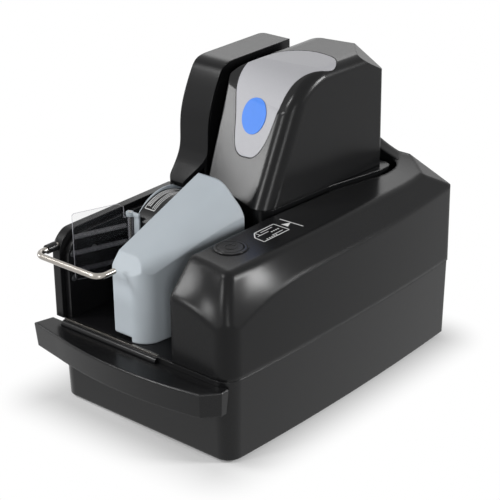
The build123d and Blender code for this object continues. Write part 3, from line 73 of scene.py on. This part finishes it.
# %% A socket that takes part in sums
class Value:
    """One output socket of a finish, usable in an expression."""

    def __init__(self, finish, socket):
        self.finish = finish
        self.socket = socket

    def maths(self, operation, first, second):
        made = self.finish.tree.nodes.new("ShaderNodeMath")
        made.operation = operation
        self.finish.feed(made.inputs[0], first)
        self.finish.feed(made.inputs[1], second)
        return Value(self.finish, made.outputs[0])

    def __add__(self, other):
        return self.maths("ADD", self, other)

    def __radd__(self, other):
        return self.maths("ADD", other, self)

    def __rsub__(self, other):
        return self.maths("SUBTRACT", other, self)

    def __mul__(self, other):
        return self.maths("MULTIPLY", self, other)

    def __rmul__(self, other):
        return self.maths("MULTIPLY", other, self)

    def largest(self, other):
        return self.maths("MAXIMUM", self, other)

    def ramp(self, low, high):
        """0 below low, 1 above high and a soft step between."""
        return self.finish.node(
            "ShaderNodeMapRange",
            {"interpolation_type": "SMOOTHSTEP", "clamp": True},
            {"Value": self, "From Min": low, "From Max": high},
        )


# %% [markdown]
# Each finish of the real scanner, such as grained plastic or plated steel, becomes one material
# with Blender's Principled shader. This class holds it and adds every other kind of node through
# one method, which keeps the recipes further down as short as a list of what goes into them.

# %% A finish
class Finish:
    """A material with a Principled shader, and the one method that adds a node to it."""

    def __init__(self, name):
        self.material = bpy.data.materials.new(name)
        self.material.use_nodes = True
        self.tree = self.material.node_tree
        self.shader = self.tree.nodes["Principled BSDF"]

    def feed(self, socket, value):
        if isinstance(value, Value):
            self.tree.links.new(value.socket, socket)
        else:
            socket.default_value = value

    def node(self, kind, settings=None, inputs=None, output=0):
        """A node of a kind, with its settings first and then the values or links of its sockets."""
        made = self.tree.nodes.new(kind)
        for name, value in (settings or {}).items():
            setattr(made, name, value)
        for name, value in (inputs or {}).items():
            self.feed(made.inputs[name], value)
        return Value(self, made.outputs[output])

    def set(self, **sockets):
        """Values or links on the shader's own sockets, named with underscores for spaces."""
        for name, value in sockets.items():
            self.feed(self.shader.inputs[name.replace("_", " ")], value)
        return self


# %% [markdown]
# Three helpers are used by nearly every finish: a place on the object, a mottled value between 0
# and 1 at a given size, and a blend of two colours. The noise's size is given in millimetres. The
# Mix node has a set of sockets for each kind of value and gives them the same names, so those for
# colours are reached by number.

# %% Place, mottle and blend
MIX_SHARE, MIX_FIRST, MIX_SECOND, MIX_COLOUR = 0, 6, 7, 2


def place(finish, stretch=(1, 1, 1)):
    """Object coordinates, squeezed along an axis where a pattern runs in lines."""
    spot = finish.node("ShaderNodeTexCoord", output="Object")
    return finish.node("ShaderNodeMapping", inputs={"Vector": spot, "Scale": stretch})


def mottle(finish, size, detail=2.0, stretch=(1, 1, 1)):
    """Soft noise whose blots are about `size` millimetres across."""
    return finish.node(
        "ShaderNodeTexNoise",
        inputs={"Vector": place(finish, stretch), "Scale": 1 / (size * MM), "Detail": detail},
    )


def blend(finish, share, first, second):
    """First colour where share is 0 and second where it is 1."""
    return finish.node(
        "ShaderNodeMix",
        {"data_type": "RGBA"},
        {MIX_SHARE: share, MIX_FIRST: (*first, 1), MIX_SECOND: (*second, 1)},
        output=MIX_COLOUR,
    )


# %% [markdown]
# Moulded plastic never has a knife edge. The real parts are rounded by half a millimetre or so
# where two faces meet. A Bevel node bends the shading there without touching the mesh, and the
# Bump node adds the fine spark-eroded grain of the mould on top of it.

# %% Soft edges and grain
def surface(finish, edge, height=None, depth=0.02):
    """Normal with edges rounded by `edge` millimetres and a relief `depth` millimetres deep."""
    rounded = finish.node("ShaderNodeBevel", {"samples": 6}, {"Radius": edge * MM})
    if height is None:
        return rounded
    return finish.node(
        "ShaderNodeBump",
        inputs={"Height": height, "Distance": depth * MM, "Strength": 1.0, "Normal": rounded},
    )


# %% [markdown]
# The shell is injection-moulded ABS, dyed black and left with a fine satin grain. It is nearly
# black in itself: what we see on it is mostly the room, blurred by the grain. So its colour is
# very dark and its roughness middling, with a little drift where hands and the mould leave it
# smoother.

# %% Satin black shell
def satin_black(name="satin_black", edge=1.0, shine=1.25):
    """Grained black, its edges rounded by `edge` millimetres and `shine` its refractive index."""
    finish = Finish(name)
    grain = mottle(finish, 0.55, 3.0)
    drift = mottle(finish, 38.0)
    colour = blend(finish, grain, (0.0045, 0.0046, 0.0049), (0.0090, 0.0091, 0.0095))
    rough = 0.21 + 0.04 * drift + 0.03 * grain
    normal = surface(finish, edge, grain, 0.009)
    return finish.set(Base_Color=colour, Roughness=rough, Normal=normal, IOR=shine)


# %% [markdown]
# The pocket's liner and floor, the door's inner plate and the wire's bush are smooth black
# plastic, polished so that paper slides, and so are the button and its cup. Only faint handling
# haze breaks the gloss.

# %% Polished black
def polished_black():
    finish = Finish("polished_black")
    haze = mottle(finish, 22.0, 4.0)
    colour = blend(finish, haze, (0.0045, 0.0045, 0.005), (0.0075, 0.0075, 0.008))
    rough = 0.17 + 0.10 * haze
    return finish.set(
        Base_Color=colour, Roughness=rough, Normal=surface(finish, 0.35), IOR=1.3
    )


# %% [markdown]
# The lift-off cover is pale bluish grey plastic with a smooth, slightly silky skin. The insert on
# the tower is a more neutral silver grey with a grain that is just visible.

# %% Pale grey plastics
def silky_grey():
    finish = Finish("silky_grey")
    cloud = mottle(finish, 30.0)
    grain = mottle(finish, 0.35)
    colour = blend(finish, cloud, (0.375, 0.415, 0.447), (0.41, 0.45, 0.482))
    rough = 0.50 + 0.05 * grain
    normal = surface(finish, 2.0, grain, 0.003)
    return finish.set(Base_Color=colour, Roughness=rough, Normal=normal, IOR=1.33)


def silver_grey():
    finish = Finish("silver_grey")
    grain = mottle(finish, 0.6, 3.0)
    cloud = mottle(finish, 45.0)
    fine = blend(finish, grain, (0.325, 0.325, 0.345), (0.415, 0.415, 0.435))
    rough = 0.48 + 0.08 * cloud
    normal = surface(finish, 0.3, grain, 0.008)
    return finish.set(Base_Color=fine, Roughness=rough, Normal=normal, IOR=1.35)


# %% [markdown]
# The round badge is a blank disc of blue plastic with a silky lacquer over it. Its low sheen keeps
# the blue even from edge to edge.

# %% Blue disc
def lacquered_blue():
    finish = Finish("lacquered_blue")
    cloud = mottle(finish, 6.0)
    colour = blend(finish, cloud, (0.050, 0.188, 0.64), (0.062, 0.215, 0.70))
    return finish.set(
        Base_Color=colour, Roughness=0.46 + 0.05 * cloud, Normal=surface(finish, 0.25), IOR=1.3
    )


# %% [markdown]
# The wire stop is nickel-plated steel rod. Drawing and polishing leave long faint lines, so the
# noise is stretched a great deal along one axis. Screws, pins and the wear strip share it.

# %% Metals
def plated_steel():
    finish = Finish("plated_steel")
    lines = mottle(finish, 0.25, 3.0, (0.02, 0.3, 1))
    colour = blend(finish, lines, (0.27, 0.252, 0.228), (0.40, 0.375, 0.345))
    rough = 0.16 + 0.14 * lines
    return finish.set(
        Base_Color=colour, Metallic=1.0, Roughness=rough, Normal=surface(finish, 0.2, lines, 0.002)
    )


def coated_steel():
    finish = Finish("coated_steel")
    pebble = mottle(finish, 0.9, 4.0)
    colour = blend(finish, pebble, (0.028, 0.029, 0.032), (0.05, 0.052, 0.056))
    return finish.set(
        Base_Color=colour, Metallic=0.35, Roughness=0.30 + 0.2 * pebble,
        Normal=surface(finish, 0.3, pebble, 0.02),
    )


def bright_tin():
    finish = Finish("bright_tin")
    lines = mottle(finish, 0.3, 2.0, (1, 0.1, 0.1))
    colour = blend(finish, lines, (0.60, 0.60, 0.61), (0.72, 0.72, 0.73))
    return finish.set(
        Base_Color=colour, Metallic=1.0, Roughness=0.22 + 0.12 * lines,
        Normal=surface(finish, 0.2, lines, 0.004),
    )


# %% [markdown]
# Feed rollers are ground rubber: matt, with a fine crosswise grain from the grinding wheel. The
# feet are softer, and show the dust they collect.

# %% Rubbers
def ground_rubber():
    finish = Finish("ground_rubber")
    rings = mottle(finish, 0.5, 3.0, (1, 1, 4))
    colour = blend(finish, rings, (0.022, 0.022, 0.024), (0.045, 0.045, 0.048))
    return finish.set(
        Base_Color=colour, Roughness=0.62 + 0.2 * rings, Normal=surface(finish, 0.3, rings, 0.03)
    )


def foot_rubber():
    finish = Finish("foot_rubber")
    dust = mottle(finish, 3.0, 4.0)
    colour = blend(finish, dust, (0.012, 0.012, 0.012), (0.04, 0.039, 0.037))
    return finish.set(
        Base_Color=colour, Roughness=0.75 + 0.15 * dust, Normal=surface(finish, 0.5, dust, 0.02)
    )


# %% [markdown]
# The divider is clear acrylic sheet. It is too thin to bend the light, so its broad faces are
# almost fully see-through. Light gathers in its edges and in the walls of its grooves: there the
# face turns away from the sheet's own direction, and the sheet is cloudier. The sensor windows are
# thick glass, through which light has to be bent.

# %% Clear sheet and sensor glass
def clear_acrylic(sheet):
    """Clear on the sheet's broad faces and cloudy on its edges."""
    finish = Finish("clear_acrylic")
    broad_side = max(sheet.data.polygons, key=lambda face: face.area).normal
    facing = finish.node("ShaderNodeTexCoord", output="Normal")
    turned = finish.node(
        "ShaderNodeVectorMath",
        {"operation": "DOT_PRODUCT"},
        {0: facing, 1: broad_side},
        output="Value",
    )
    broad = turned * turned
    rubs = mottle(finish, 14.0, 2.0, (1, 1, 0.3))
    colour = blend(finish, broad, (0.30, 0.30, 0.33), (0.03, 0.03, 0.034))
    cloudy, clear = 0.62, 0.05
    alpha = cloudy - (cloudy - clear) * broad + 0.02 * rubs
    return finish.set(Base_Color=colour, Roughness=0.05, Alpha=alpha)


def window_glass():
    finish = Finish("window_glass")
    film = mottle(finish, 9.0)
    colour = blend(finish, film, (0.72, 0.78, 0.80), (0.80, 0.84, 0.86))
    return finish.set(
        Base_Color=colour, Roughness=0.02 + 0.04 * film, Transmission_Weight=0.85, IOR=1.5
    )


# %% [markdown]
# Inside sit a circuit board, pulleys and a cartridge. They are seen only when the scanner is
# opened, and still get a finish of their own. The board's copper tracks show through its green
# lacquer as fine lines, laid like the joints of a brick wall.

# %% Board, pulleys and cartridge
def green_board():
    finish = Finish("green_board")
    tracks = finish.node(
        "ShaderNodeTexBrick",
        {"offset": 0.5},
        {
            "Vector": place(finish),
            "Scale": 1 / (9 * MM),
            "Mortar Size": 0.035,
            "Color1": (0, 0, 0, 1),
            "Color2": (0, 0, 0, 1),
            "Mortar": (1, 1, 1, 1),
        },
        output="Fac",
    )
    colour = blend(finish, tracks, (0.012, 0.095, 0.04), (0.05, 0.24, 0.10))
    return finish.set(
        Base_Color=colour, Roughness=0.28 + 0.1 * tracks, Normal=surface(finish, 0.2, tracks, 0.03)
    )


def white_acetal():
    finish = Finish("white_acetal")
    wax = mottle(finish, 5.0)
    colour = blend(finish, wax, (0.56, 0.56, 0.53), (0.66, 0.66, 0.64))
    return finish.set(
        Base_Color=colour, Roughness=0.34 + 0.1 * wax, Normal=surface(finish, 0.3, wax, 0.01)
    )


def ink_case():
    finish = Finish("ink_case")
    grain = mottle(finish, 0.8, 3.0)
    colour = blend(finish, grain, (0.03, 0.036, 0.055), (0.055, 0.062, 0.09))
    return finish.set(
        Base_Color=colour, Roughness=0.42 + 0.1 * grain, Normal=surface(finish, 0.4, grain, 0.02)
    )


# %% [markdown]
# The little drawings on the scanner are screen-printed in white ink, slightly uneven where the ink
# is thin.

# %% Printed white
def white_ink(name="white_ink", level=0.72):
    finish = Finish(name)
    thin = mottle(finish, 0.4, 4.0)
    colour = blend(finish, thin, (level * 0.86,) * 3, (level,) * 3)
    return finish.set(Base_Color=colour, Roughness=0.45 + 0.1 * thin)


# %% [markdown]
# The record names one material slot for each node. Each slot gets one finish, and every CAD node
# takes the finish of its slot. Only the material slots of a CAD object change, never its mesh.

# %% Give every node its finish
finish_for_slot = {
    "shell_black": satin_black(),
    "gloss_black": polished_black(),
    "cover_grey": silky_grey(),
    "insert_grey": silver_grey(),
    "badge_blue": lacquered_blue(),
    "steel": plated_steel(),
    "dark_steel": coated_steel(),
    "roller_rubber": ground_rubber(),
    "foot_rubber": foot_rubber(),
    "clear_sheet": clear_acrylic(nodes["pocket_divider"]),
    "sensor_glass": window_glass(),
    "board_green": green_board(),
    "port_metal": bright_tin(),
    "pulley_plastic": white_acetal(),
    "cartridge": ink_case(),
}
slot_of = {part["node"]: part["material_slot"] for part in frame["record"]["subparts"]}
for name, node in nodes.items():
    node.data.materials.clear()
    node.data.materials.append(finish_for_slot[slot_of[name]].material)
print(len(finish_for_slot), "finishes on", len(nodes), "nodes")

# %% [markdown]
# Not all black pieces look the same. The button and its cup come from a smoother mould than the
# shell, so they shine like the liner. The upper cover's edges are rounder than those of the other
# black pieces, and the tub and the ledge shine a little more than the cover above them.

# %% Black pieces that differ
polished = finish_for_slot["gloss_black"].material
soft_edged_black = satin_black("soft_edged_black", edge=4.0, shine=1.24).material
lower_black = satin_black("lower_black", edge=1.2, shine=1.31).material
own_black = {
    "button_bezel": polished,
    "power_button": polished,
    "upper_cover": soft_edged_black,
    "base_tub": lower_black,
    "front_ledge": lower_black,
}
for name, material in own_black.items():
    nodes[name].data.materials[0] = material
worn = [node.data.materials[0].name for node in nodes.values()]
print("nodes by finish:", {name: worn.count(name) for name in sorted(set(worn))})

# %% [markdown]
# A printed mark is a film of ink that follows the surface below it. It is drawn flat from above,
# cut into short pieces, and every corner is then dropped on to the CAD surface with a ray, with
# a hair's breadth left between them. One helper does the dropping for all the marks.

# %% Lay a flat drawing on a surface
INK = 0.05  # millimetres left between a mark and the surface
MAX_STEP = 2.0  # millimetres, the longest piece of a line
RAY_START = 0.2  # metres, well outside the scanner


def surface_below(*names):
    """A tree of the faces of some CAD nodes, for rays to hit."""
    drawn = bmesh.new()
    for name in names:
        drawn.from_mesh(nodes[name].data)
    tree = BVHTree.FromBMesh(drawn)
    drawn.free()
    return tree


def lay(drawn, below, direction=(0, 0, -1)):
    """Move each vertex along the direction until it lies a film of ink above the surface."""
    along = Vector(direction)
    for vertex in drawn.verts:
        hit = below.ray_cast(vertex.co - along * RAY_START, along)[0]
        if hit is not None:
            vertex.co = hit - along * INK * MM


def stroke(drawn, start, end, width):
    """A flat bar between two points given in millimetres, cut into short lengths."""
    start, end = Vector((*start, 0)), Vector((*end, 0))
    length = (end - start).length
    cuts = max(1, math.ceil(length / MAX_STEP))
    bar = bmesh.ops.create_grid(drawn, x_segments=cuts, y_segments=1, size=0.5)
    turn = Matrix.Rotation(math.atan2(end.y - start.y, end.x - start.x), 4, "Z")
    shape = Matrix.Diagonal((length, width, 1, 1))
    middle = Matrix.Translation((start + end) / 2)
    bmesh.ops.transform(drawn, matrix=middle @ turn @ shape, verts=bar["verts"])


def outline(drawn, corners, width, closed=True):
    """Strokes from corner to corner."""
    following = corners[1:] + corners[:1] if closed else corners[1:]
    for start, end in zip(corners, following):
        stroke(drawn, start, end, width)


# %% [markdown]
# A finished drawing becomes a mesh object in the scene. It takes a finish, and it rides on the body
# it is printed or moulded on, so that it moves when that body moves.

# %% Turn a drawing into a piece
def piece(name, drawn, finish, body):
    """Make a mesh object of the drawing, give it a finish and let it ride on a body."""
    mesh = bpy.data.meshes.new(name)
    drawn.to_mesh(mesh)
    drawn.free()
    made = bpy.data.objects.new(name, mesh)
    bpy.context.scene.collection.objects.link(made)
    mesh.materials.append(finish.material)
    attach(made, body)
    print(name, len(mesh.polygons), "faces")


# %% [markdown]
# On the block's top, beside the button, a small drawing shows which way a cheque goes in: a cheque
# seen in slant view, a few ruled lines on it, an arrow and the bar that it goes in up to. It tells
# a user what to do without any words. Each pair of numbers is a place on the block's top, in
# millimetres to the right and to the back of the scanner's middle.

# %% Feeding picture on the block
LINE = 0.75  # millimetres, the width of a printed line
cheque_outline = [(43.0, -39.8), (43.1, -19.9), (57.1, -20.1), (57.0, -46.2), (48.2, -45.3)]
picture = bmesh.new()
outline(picture, cheque_outline, LINE)
for across, first, last in ((45.6, -36.5, -24.5), (48.4, -42.5, -31.5), (54.2, -34.5, -23.5)):
    stroke(picture, (across, first), (across, last), LINE * 0.8)
for dash in range(4):
    stroke(picture, (50.4, -31.0 + 2.2 * dash), (50.4, -29.8 + 2.2 * dash), LINE * 1.6)
for dash in range(5):
    stroke(picture, (55.6, -42.0 + 2.4 * dash), (55.6, -40.7 + 2.4 * dash), LINE * 1.2)
stroke(picture, (43.0, -39.8), (48.2, -39.8), LINE * 0.7)
stroke(picture, (40.9, -10.6), (61.0, -9.9), LINE * 1.2)

# %% [markdown]
# The arrow is a circle of three segments, which is a triangle, stretched to the printed size. Then
# the whole drawing is turned into metres and dropped on the cover.

# %% Arrow of the feeding picture
arrow = bmesh.ops.create_circle(picture, cap_ends=True, segments=3, radius=1)
arrow_size = Matrix.Diagonal((3.5, 4.2, 1, 1))
arrow_place = Matrix.Translation((50.5, -14.9, 0))
bmesh.ops.transform(picture, matrix=arrow_place @ arrow_size, verts=arrow["verts"])
bmesh.ops.scale(picture, vec=(MM, MM, MM), verts=picture.verts)
lay(picture, surface_below("upper_cover"))
piece("feeding_picture", picture, white_ink(), "chassis")

# %% [markdown]
# The endorser's arched lid carries a ruled scale: a long frame with a comb of fine ticks along one
# side and two steps along the other. The scale shows where on the cheque the stamp will print.

# %% Ruled scale on the endorser
scale_marks = bmesh.new()
low_x, high_x, near_y, far_y = -39.8, -31.0, -58.5, -26.5
scale_frame = [(low_x, near_y), (low_x, far_y), (high_x, far_y), (high_x, near_y)]
outline(scale_marks, scale_frame, width=0.6)
comb_start = near_y + 2
stroke(scale_marks, (low_x + 1.5, comb_start), (low_x + 1.5, far_y), width=0.4)
stroke(scale_marks, (low_x + 3.2, comb_start), (low_x + 3.2, far_y), width=0.55)
TICKS = 26
for tick in range(TICKS):
    along = comb_start + (tick + 0.5) * (far_y - comb_start) / TICKS
    stroke(scale_marks, (low_x + 0.3, along), (low_x + 3.0, along), width=0.35)
for step, reach in ((6.0, 19.0), (7.4, 27.0)):
    stroke(scale_marks, (low_x + step, near_y + 1), (low_x + step, near_y + reach), width=0.6)
    stroke(scale_marks, (low_x + step, near_y + reach), (high_x, near_y + reach), width=0.5)
bmesh.ops.scale(scale_marks, vec=(MM, MM, MM), verts=scale_marks.verts)
lay(scale_marks, surface_below("endorser_housing"))
piece("ruled_scale", scale_marks, white_ink("thin_ink", 0.5), "chassis")

# %% [markdown]
# The power mark on the button is moulded, not printed: a broken ring with a bar through the break,
# standing a fraction of a millimetre proud. A small rectangle is carried round the button's axis in
# steps, each step is joined to the next by four faces, and both ends are closed. Blender's spin
# tool makes the same ring, but lists its faces in another order at each run. The ring's radius, the
# bar's width and the height are in millimetres, the break in degrees.

# %% Moulded power mark
button_low, button_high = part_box("power_button")
button_middle = (button_low + button_high) / 2
button_middle.z = button_high.z
RING, BAR, PROUD, BREAK, STEPS = 3.9, 0.85, 0.22, 62, 40
inner, outer = RING - BAR / 2, RING + BAR / 2
corners = [(inner, 0, -PROUD), (outer, 0, -PROUD), (outer, 0, PROUD), (inner, 0, PROUD)]
mark = bmesh.new()
sections = []
for step in range(STEPS + 1):
    angle = math.radians(90 + BREAK / 2 + (360 - BREAK) * step / STEPS)
    turn = Matrix.Rotation(angle, 4, "Z")
    sections.append([mark.verts.new(turn @ Vector(corner)) for corner in corners])
for here, there in zip(sections, sections[1:]):
    for side in range(4):
        after = (side + 1) % 4
        mark.faces.new((here[side], here[after], there[after], there[side]))
mark.faces.new(sections[0])
mark.faces.new(sections[-1])
bar = bmesh.ops.create_cube(mark, size=1)
bar_place = Matrix.Translation((0, RING * 0.75, 0))
bar_size = Matrix.Diagonal((BAR, RING, 2 * PROUD, 1))
bmesh.ops.transform(mark, matrix=bar_place @ bar_size, verts=bar["verts"])
bmesh.ops.scale(mark, vec=(MM, MM, MM), verts=mark.verts)
bmesh.ops.translate(mark, vec=button_middle, verts=mark.verts)
bmesh.ops.recalc_face_normals(mark, faces=mark.faces)
piece("power_mark", mark, finish_for_slot["shell_black"], "button")

# %% [markdown]
# The pocket is numbered on its liner with a faint grey figure. It starts as a text object, which is
# turned into a mesh before it is put in its place.

# %% Pocket number
FIGURE_SIZE = 6.5  # millimetres
liner_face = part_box("pocket_liner")[1].x
figure = bpy.data.curves.new("pocket_number", "FONT")
figure.body = "2"
figure.size = FIGURE_SIZE * MM
figure.align_x = figure.align_y = "CENTER"
figure.resolution_u = 6
flat_figure = bpy.data.objects.new("pocket_number_text", figure)
bpy.context.scene.collection.objects.link(flat_figure)
bpy.context.view_layer.update()
number_mesh = bpy.data.meshes.new_from_object(flat_figure)
bpy.data.objects.remove(flat_figure)
number = bmesh.new()
number.from_mesh(number_mesh)
figure_place = Matrix.Translation(mm(liner_face / MM + 0.2, -55.9, 122.2))
facing_right = Matrix(((0, 0, 1), (1, 0, 0), (0, 1, 0))).to_4x4()
bmesh.ops.transform(number, matrix=figure_place @ facing_right, verts=number.verts)
lay(number, surface_below("pocket_liner"), (-1, 0, 0))
piece("pocket_number", number, white_ink("faint_ink", 0.07), "chassis")

# %% [markdown]
# The scanner stands on a photographer's table: a pale floor that fades into white. Within a few
# centimetres of the scanner's foot the camera sees the floor's grey paint, lit and carrying the
# scanner's real shadow; this grey band that hugs the foot is also painted shade, darker than the
# white beyond. That distance is the length of what is left of a place's x and y once the foot's
# half size is taken off. A piece that mirrors the floor, or bends light as the sensor glass does,
# finds it white.

# %% Floor
FLOOR_RADIUS = 3.0  # metres
FOOT_MIDDLE, FOOT_HALF = (1 * MM, 1 * MM, 0), (76 * MM, 121 * MM, 1)
FADE_START, FADE_END = -10 * MM, 45 * MM
# The floor's grey near the foot, darker than the white beyond: painted shade round the foot.
FOOT_SHADE_GREY = 0.70


def floor_with_painted_shade():
    """Grey paint near the object, a painted shade band that hugs the foot and fades into white away
    from it.
    """
    finish = Finish("floor_with_painted_shade")
    outside = finish.node("ShaderNodeTexCoord", output="Object")
    for operation, other in (
        ("SUBTRACT", FOOT_MIDDLE),
        ("ABSOLUTE", None),
        ("SUBTRACT", FOOT_HALF),
        ("MAXIMUM", (0, 0, 0)),
    ):
        sockets = {0: outside} if other is None else {0: outside, 1: other}
        outside = finish.node("ShaderNodeVectorMath", {"operation": operation}, sockets)
    far = finish.node("ShaderNodeVectorMath", {"operation": "LENGTH"}, {0: outside}, output="Value")
    share = far.ramp(FADE_START, FADE_END)
    finish.set(Base_Color=(FOOT_SHADE_GREY, FOOT_SHADE_GREY, FOOT_SHADE_GREY, 1), Roughness=0.9, Specular_IOR_Level=0.0)
    path = finish.tree.nodes.new("ShaderNodeLightPath")
    mirrored = Value(finish, path.outputs["Is Glossy Ray"])
    seen = mirrored.largest(Value(finish, path.outputs["Is Transmission Ray"]))
    seen = seen.largest(share * Value(finish, path.outputs["Is Camera Ray"]))
    glow = finish.node("ShaderNodeEmission", inputs={"Color": (1, 1, 1, 1), "Strength": 1.0})
    painted = Value(finish, finish.shader.outputs[0])
    mixed = finish.node("ShaderNodeMixShader", inputs={0: seen, 1: painted, 2: glow})
    finish.tree.links.new(mixed.socket, finish.tree.nodes["Material Output"].inputs["Surface"])
    return finish


table = bmesh.new()
bmesh.ops.create_circle(table, cap_ends=True, segments=96, radius=FLOOR_RADIUS)
table_mesh = bpy.data.meshes.new("studio_floor")
table.to_mesh(table_mesh)
table.free()
studio_floor = bpy.data.objects.new("studio_floor", table_mesh)
bpy.context.scene.collection.objects.link(studio_floor)
table_mesh.materials.append(floor_with_painted_shade().material)
print("floor of", FLOOR_RADIUS, "metres radius")

# %% [markdown]
# Round the table is one white room. The camera, glossy faces and clear pieces see it fully white.
# What lights the scanner is a fifth of that, so that a colour renders about as it is written.

# %% World
ROOM_LIGHT, ROOM_SEEN = 0.2, 1.0
world = bpy.data.worlds.new("white_room")
bpy.context.scene.world = world
world.use_nodes = True
tree = world.node_tree
background = tree.nodes["Background"]
background.inputs["Color"].default_value = (1, 1, 1, 1)
path = tree.nodes.new("ShaderNodeLightPath")
seen_directly = tree.nodes.new("ShaderNodeMath")
seen_directly.operation = "MAXIMUM"
seen_or_through = tree.nodes.new("ShaderNodeMath")
seen_or_through.operation = "MAXIMUM"
strength = tree.nodes.new("ShaderNodeMapRange")
strength.inputs["To Min"].default_value = ROOM_LIGHT
strength.inputs["To Max"].default_value = ROOM_SEEN
tree.links.new(path.outputs["Is Camera Ray"], seen_directly.inputs[0])
tree.links.new(path.outputs["Is Glossy Ray"], seen_directly.inputs[1])
tree.links.new(seen_directly.outputs[0], seen_or_through.inputs[0])
tree.links.new(path.outputs["Is Transmission Ray"], seen_or_through.inputs[1])
tree.links.new(seen_or_through.outputs[0], strength.inputs["Value"])
tree.links.new(strength.outputs[0], background.inputs["Strength"])
print("room lights with", ROOM_LIGHT, "and is seen at", ROOM_SEEN)

# %% [markdown]
# Soft boxes do the rest. On black plastic a lamp shows as a bright blurred patch where it mirrors
# into the camera, so each lamp is placed by the patch it has to make: one for the front bevel, one
# for the scoop on the right, two for the tower's front, one for its rounded edge and a weak one
# for the flat tops. Distances and sizes of lamps are in metres.

# %% Lamps
target = mm(10, 0, 110)


def soft_box(name, direction, distance, size, watts):
    """A rectangular lamp that looks at the middle of the scanner."""
    lamp = bpy.data.lights.new(name, "AREA")
    lamp.shape = "RECTANGLE"
    lamp.size, lamp.size_y = size
    lamp.energy = watts
    made = bpy.data.objects.new(name, lamp)
    away = Vector(direction).normalized()
    made.location = target + away * distance
    made.rotation_euler = away.to_track_quat("Z", "Y").to_euler()
    bpy.context.scene.collection.objects.link(made)


soft_box("front_box", (-0.50, -0.55, 0.67), distance=1.3, size=(0.30, 0.30), watts=8.6)
soft_box("left_box", (-0.91, -0.38, 0.14), distance=1.3, size=(0.26, 0.26), watts=4.2)
soft_box("low_box", (-0.33, -0.87, 0.35), distance=1.3, size=(0.24, 0.24), watts=4.2)
soft_box("middle_strip", (0.68, -0.71, 0.19), distance=1.4, size=(0.30, 0.50), watts=4.4)
soft_box("right_box", (0.80, 0.49, 0.34), distance=1.3, size=(0.28, 0.28), watts=12.5)
soft_box("back_box", (-0.55, 0.69, 0.47), distance=1.3, size=(0.40, 0.40), watts=0.8)
print("lamps:", [lamp.name for lamp in bpy.data.lights])

# %% [markdown]
# The camera stands where the photograph was taken from: to the front right, a little above the
# scanner, with a long lens that keeps upright edges nearly parallel. It leans by less than a
# degree. Its focal length was measured in pixels of a picture 500 pixels wide, and its angles are
# in radians. The Standard view shows each brightness as it is, without a film's curve.

# %% Camera
SENSOR = 36.0
PICTURE_WIDTH = 500
FOCAL_PIXELS = 1647.5292
camera = bpy.data.cameras.new("camera")
camera.sensor_width = SENSOR
camera.lens = SENSOR * FOCAL_PIXELS / PICTURE_WIDTH
camera.clip_start, camera.clip_end = 0.05, 20
azimuth, elevation, roll = 0.7095, 0.4261, -0.0126
toward = Vector(
    (
        math.sin(azimuth) * math.cos(elevation),
        -math.cos(azimuth) * math.cos(elevation),
        math.sin(elevation),
    )
)
across = (-toward).cross(Vector((0, 0, 1))).normalized()
upward = across.cross(-toward)
leaned_across = math.cos(roll) * across + math.sin(roll) * upward
leaned_upward = -math.sin(roll) * across + math.cos(roll) * upward
turned = Matrix((leaned_across, leaned_upward, toward)).transposed()
standpoint = mm(696.45, -805.4, 576.7)
viewer = bpy.data.objects.new("viewer", camera)
viewer.matrix_world = Matrix.Translation(standpoint) @ turned.to_4x4()
bpy.context.scene.collection.objects.link(viewer)
bpy.context.scene.camera = viewer
bpy.context.scene.view_settings.view_transform = "Standard"
print("lens", round(camera.lens, 2), "mm")

# %% [markdown]
# Last, the view layer is updated so that every piece stands where it was put.

# %% Finish
bpy.context.view_layer.update()
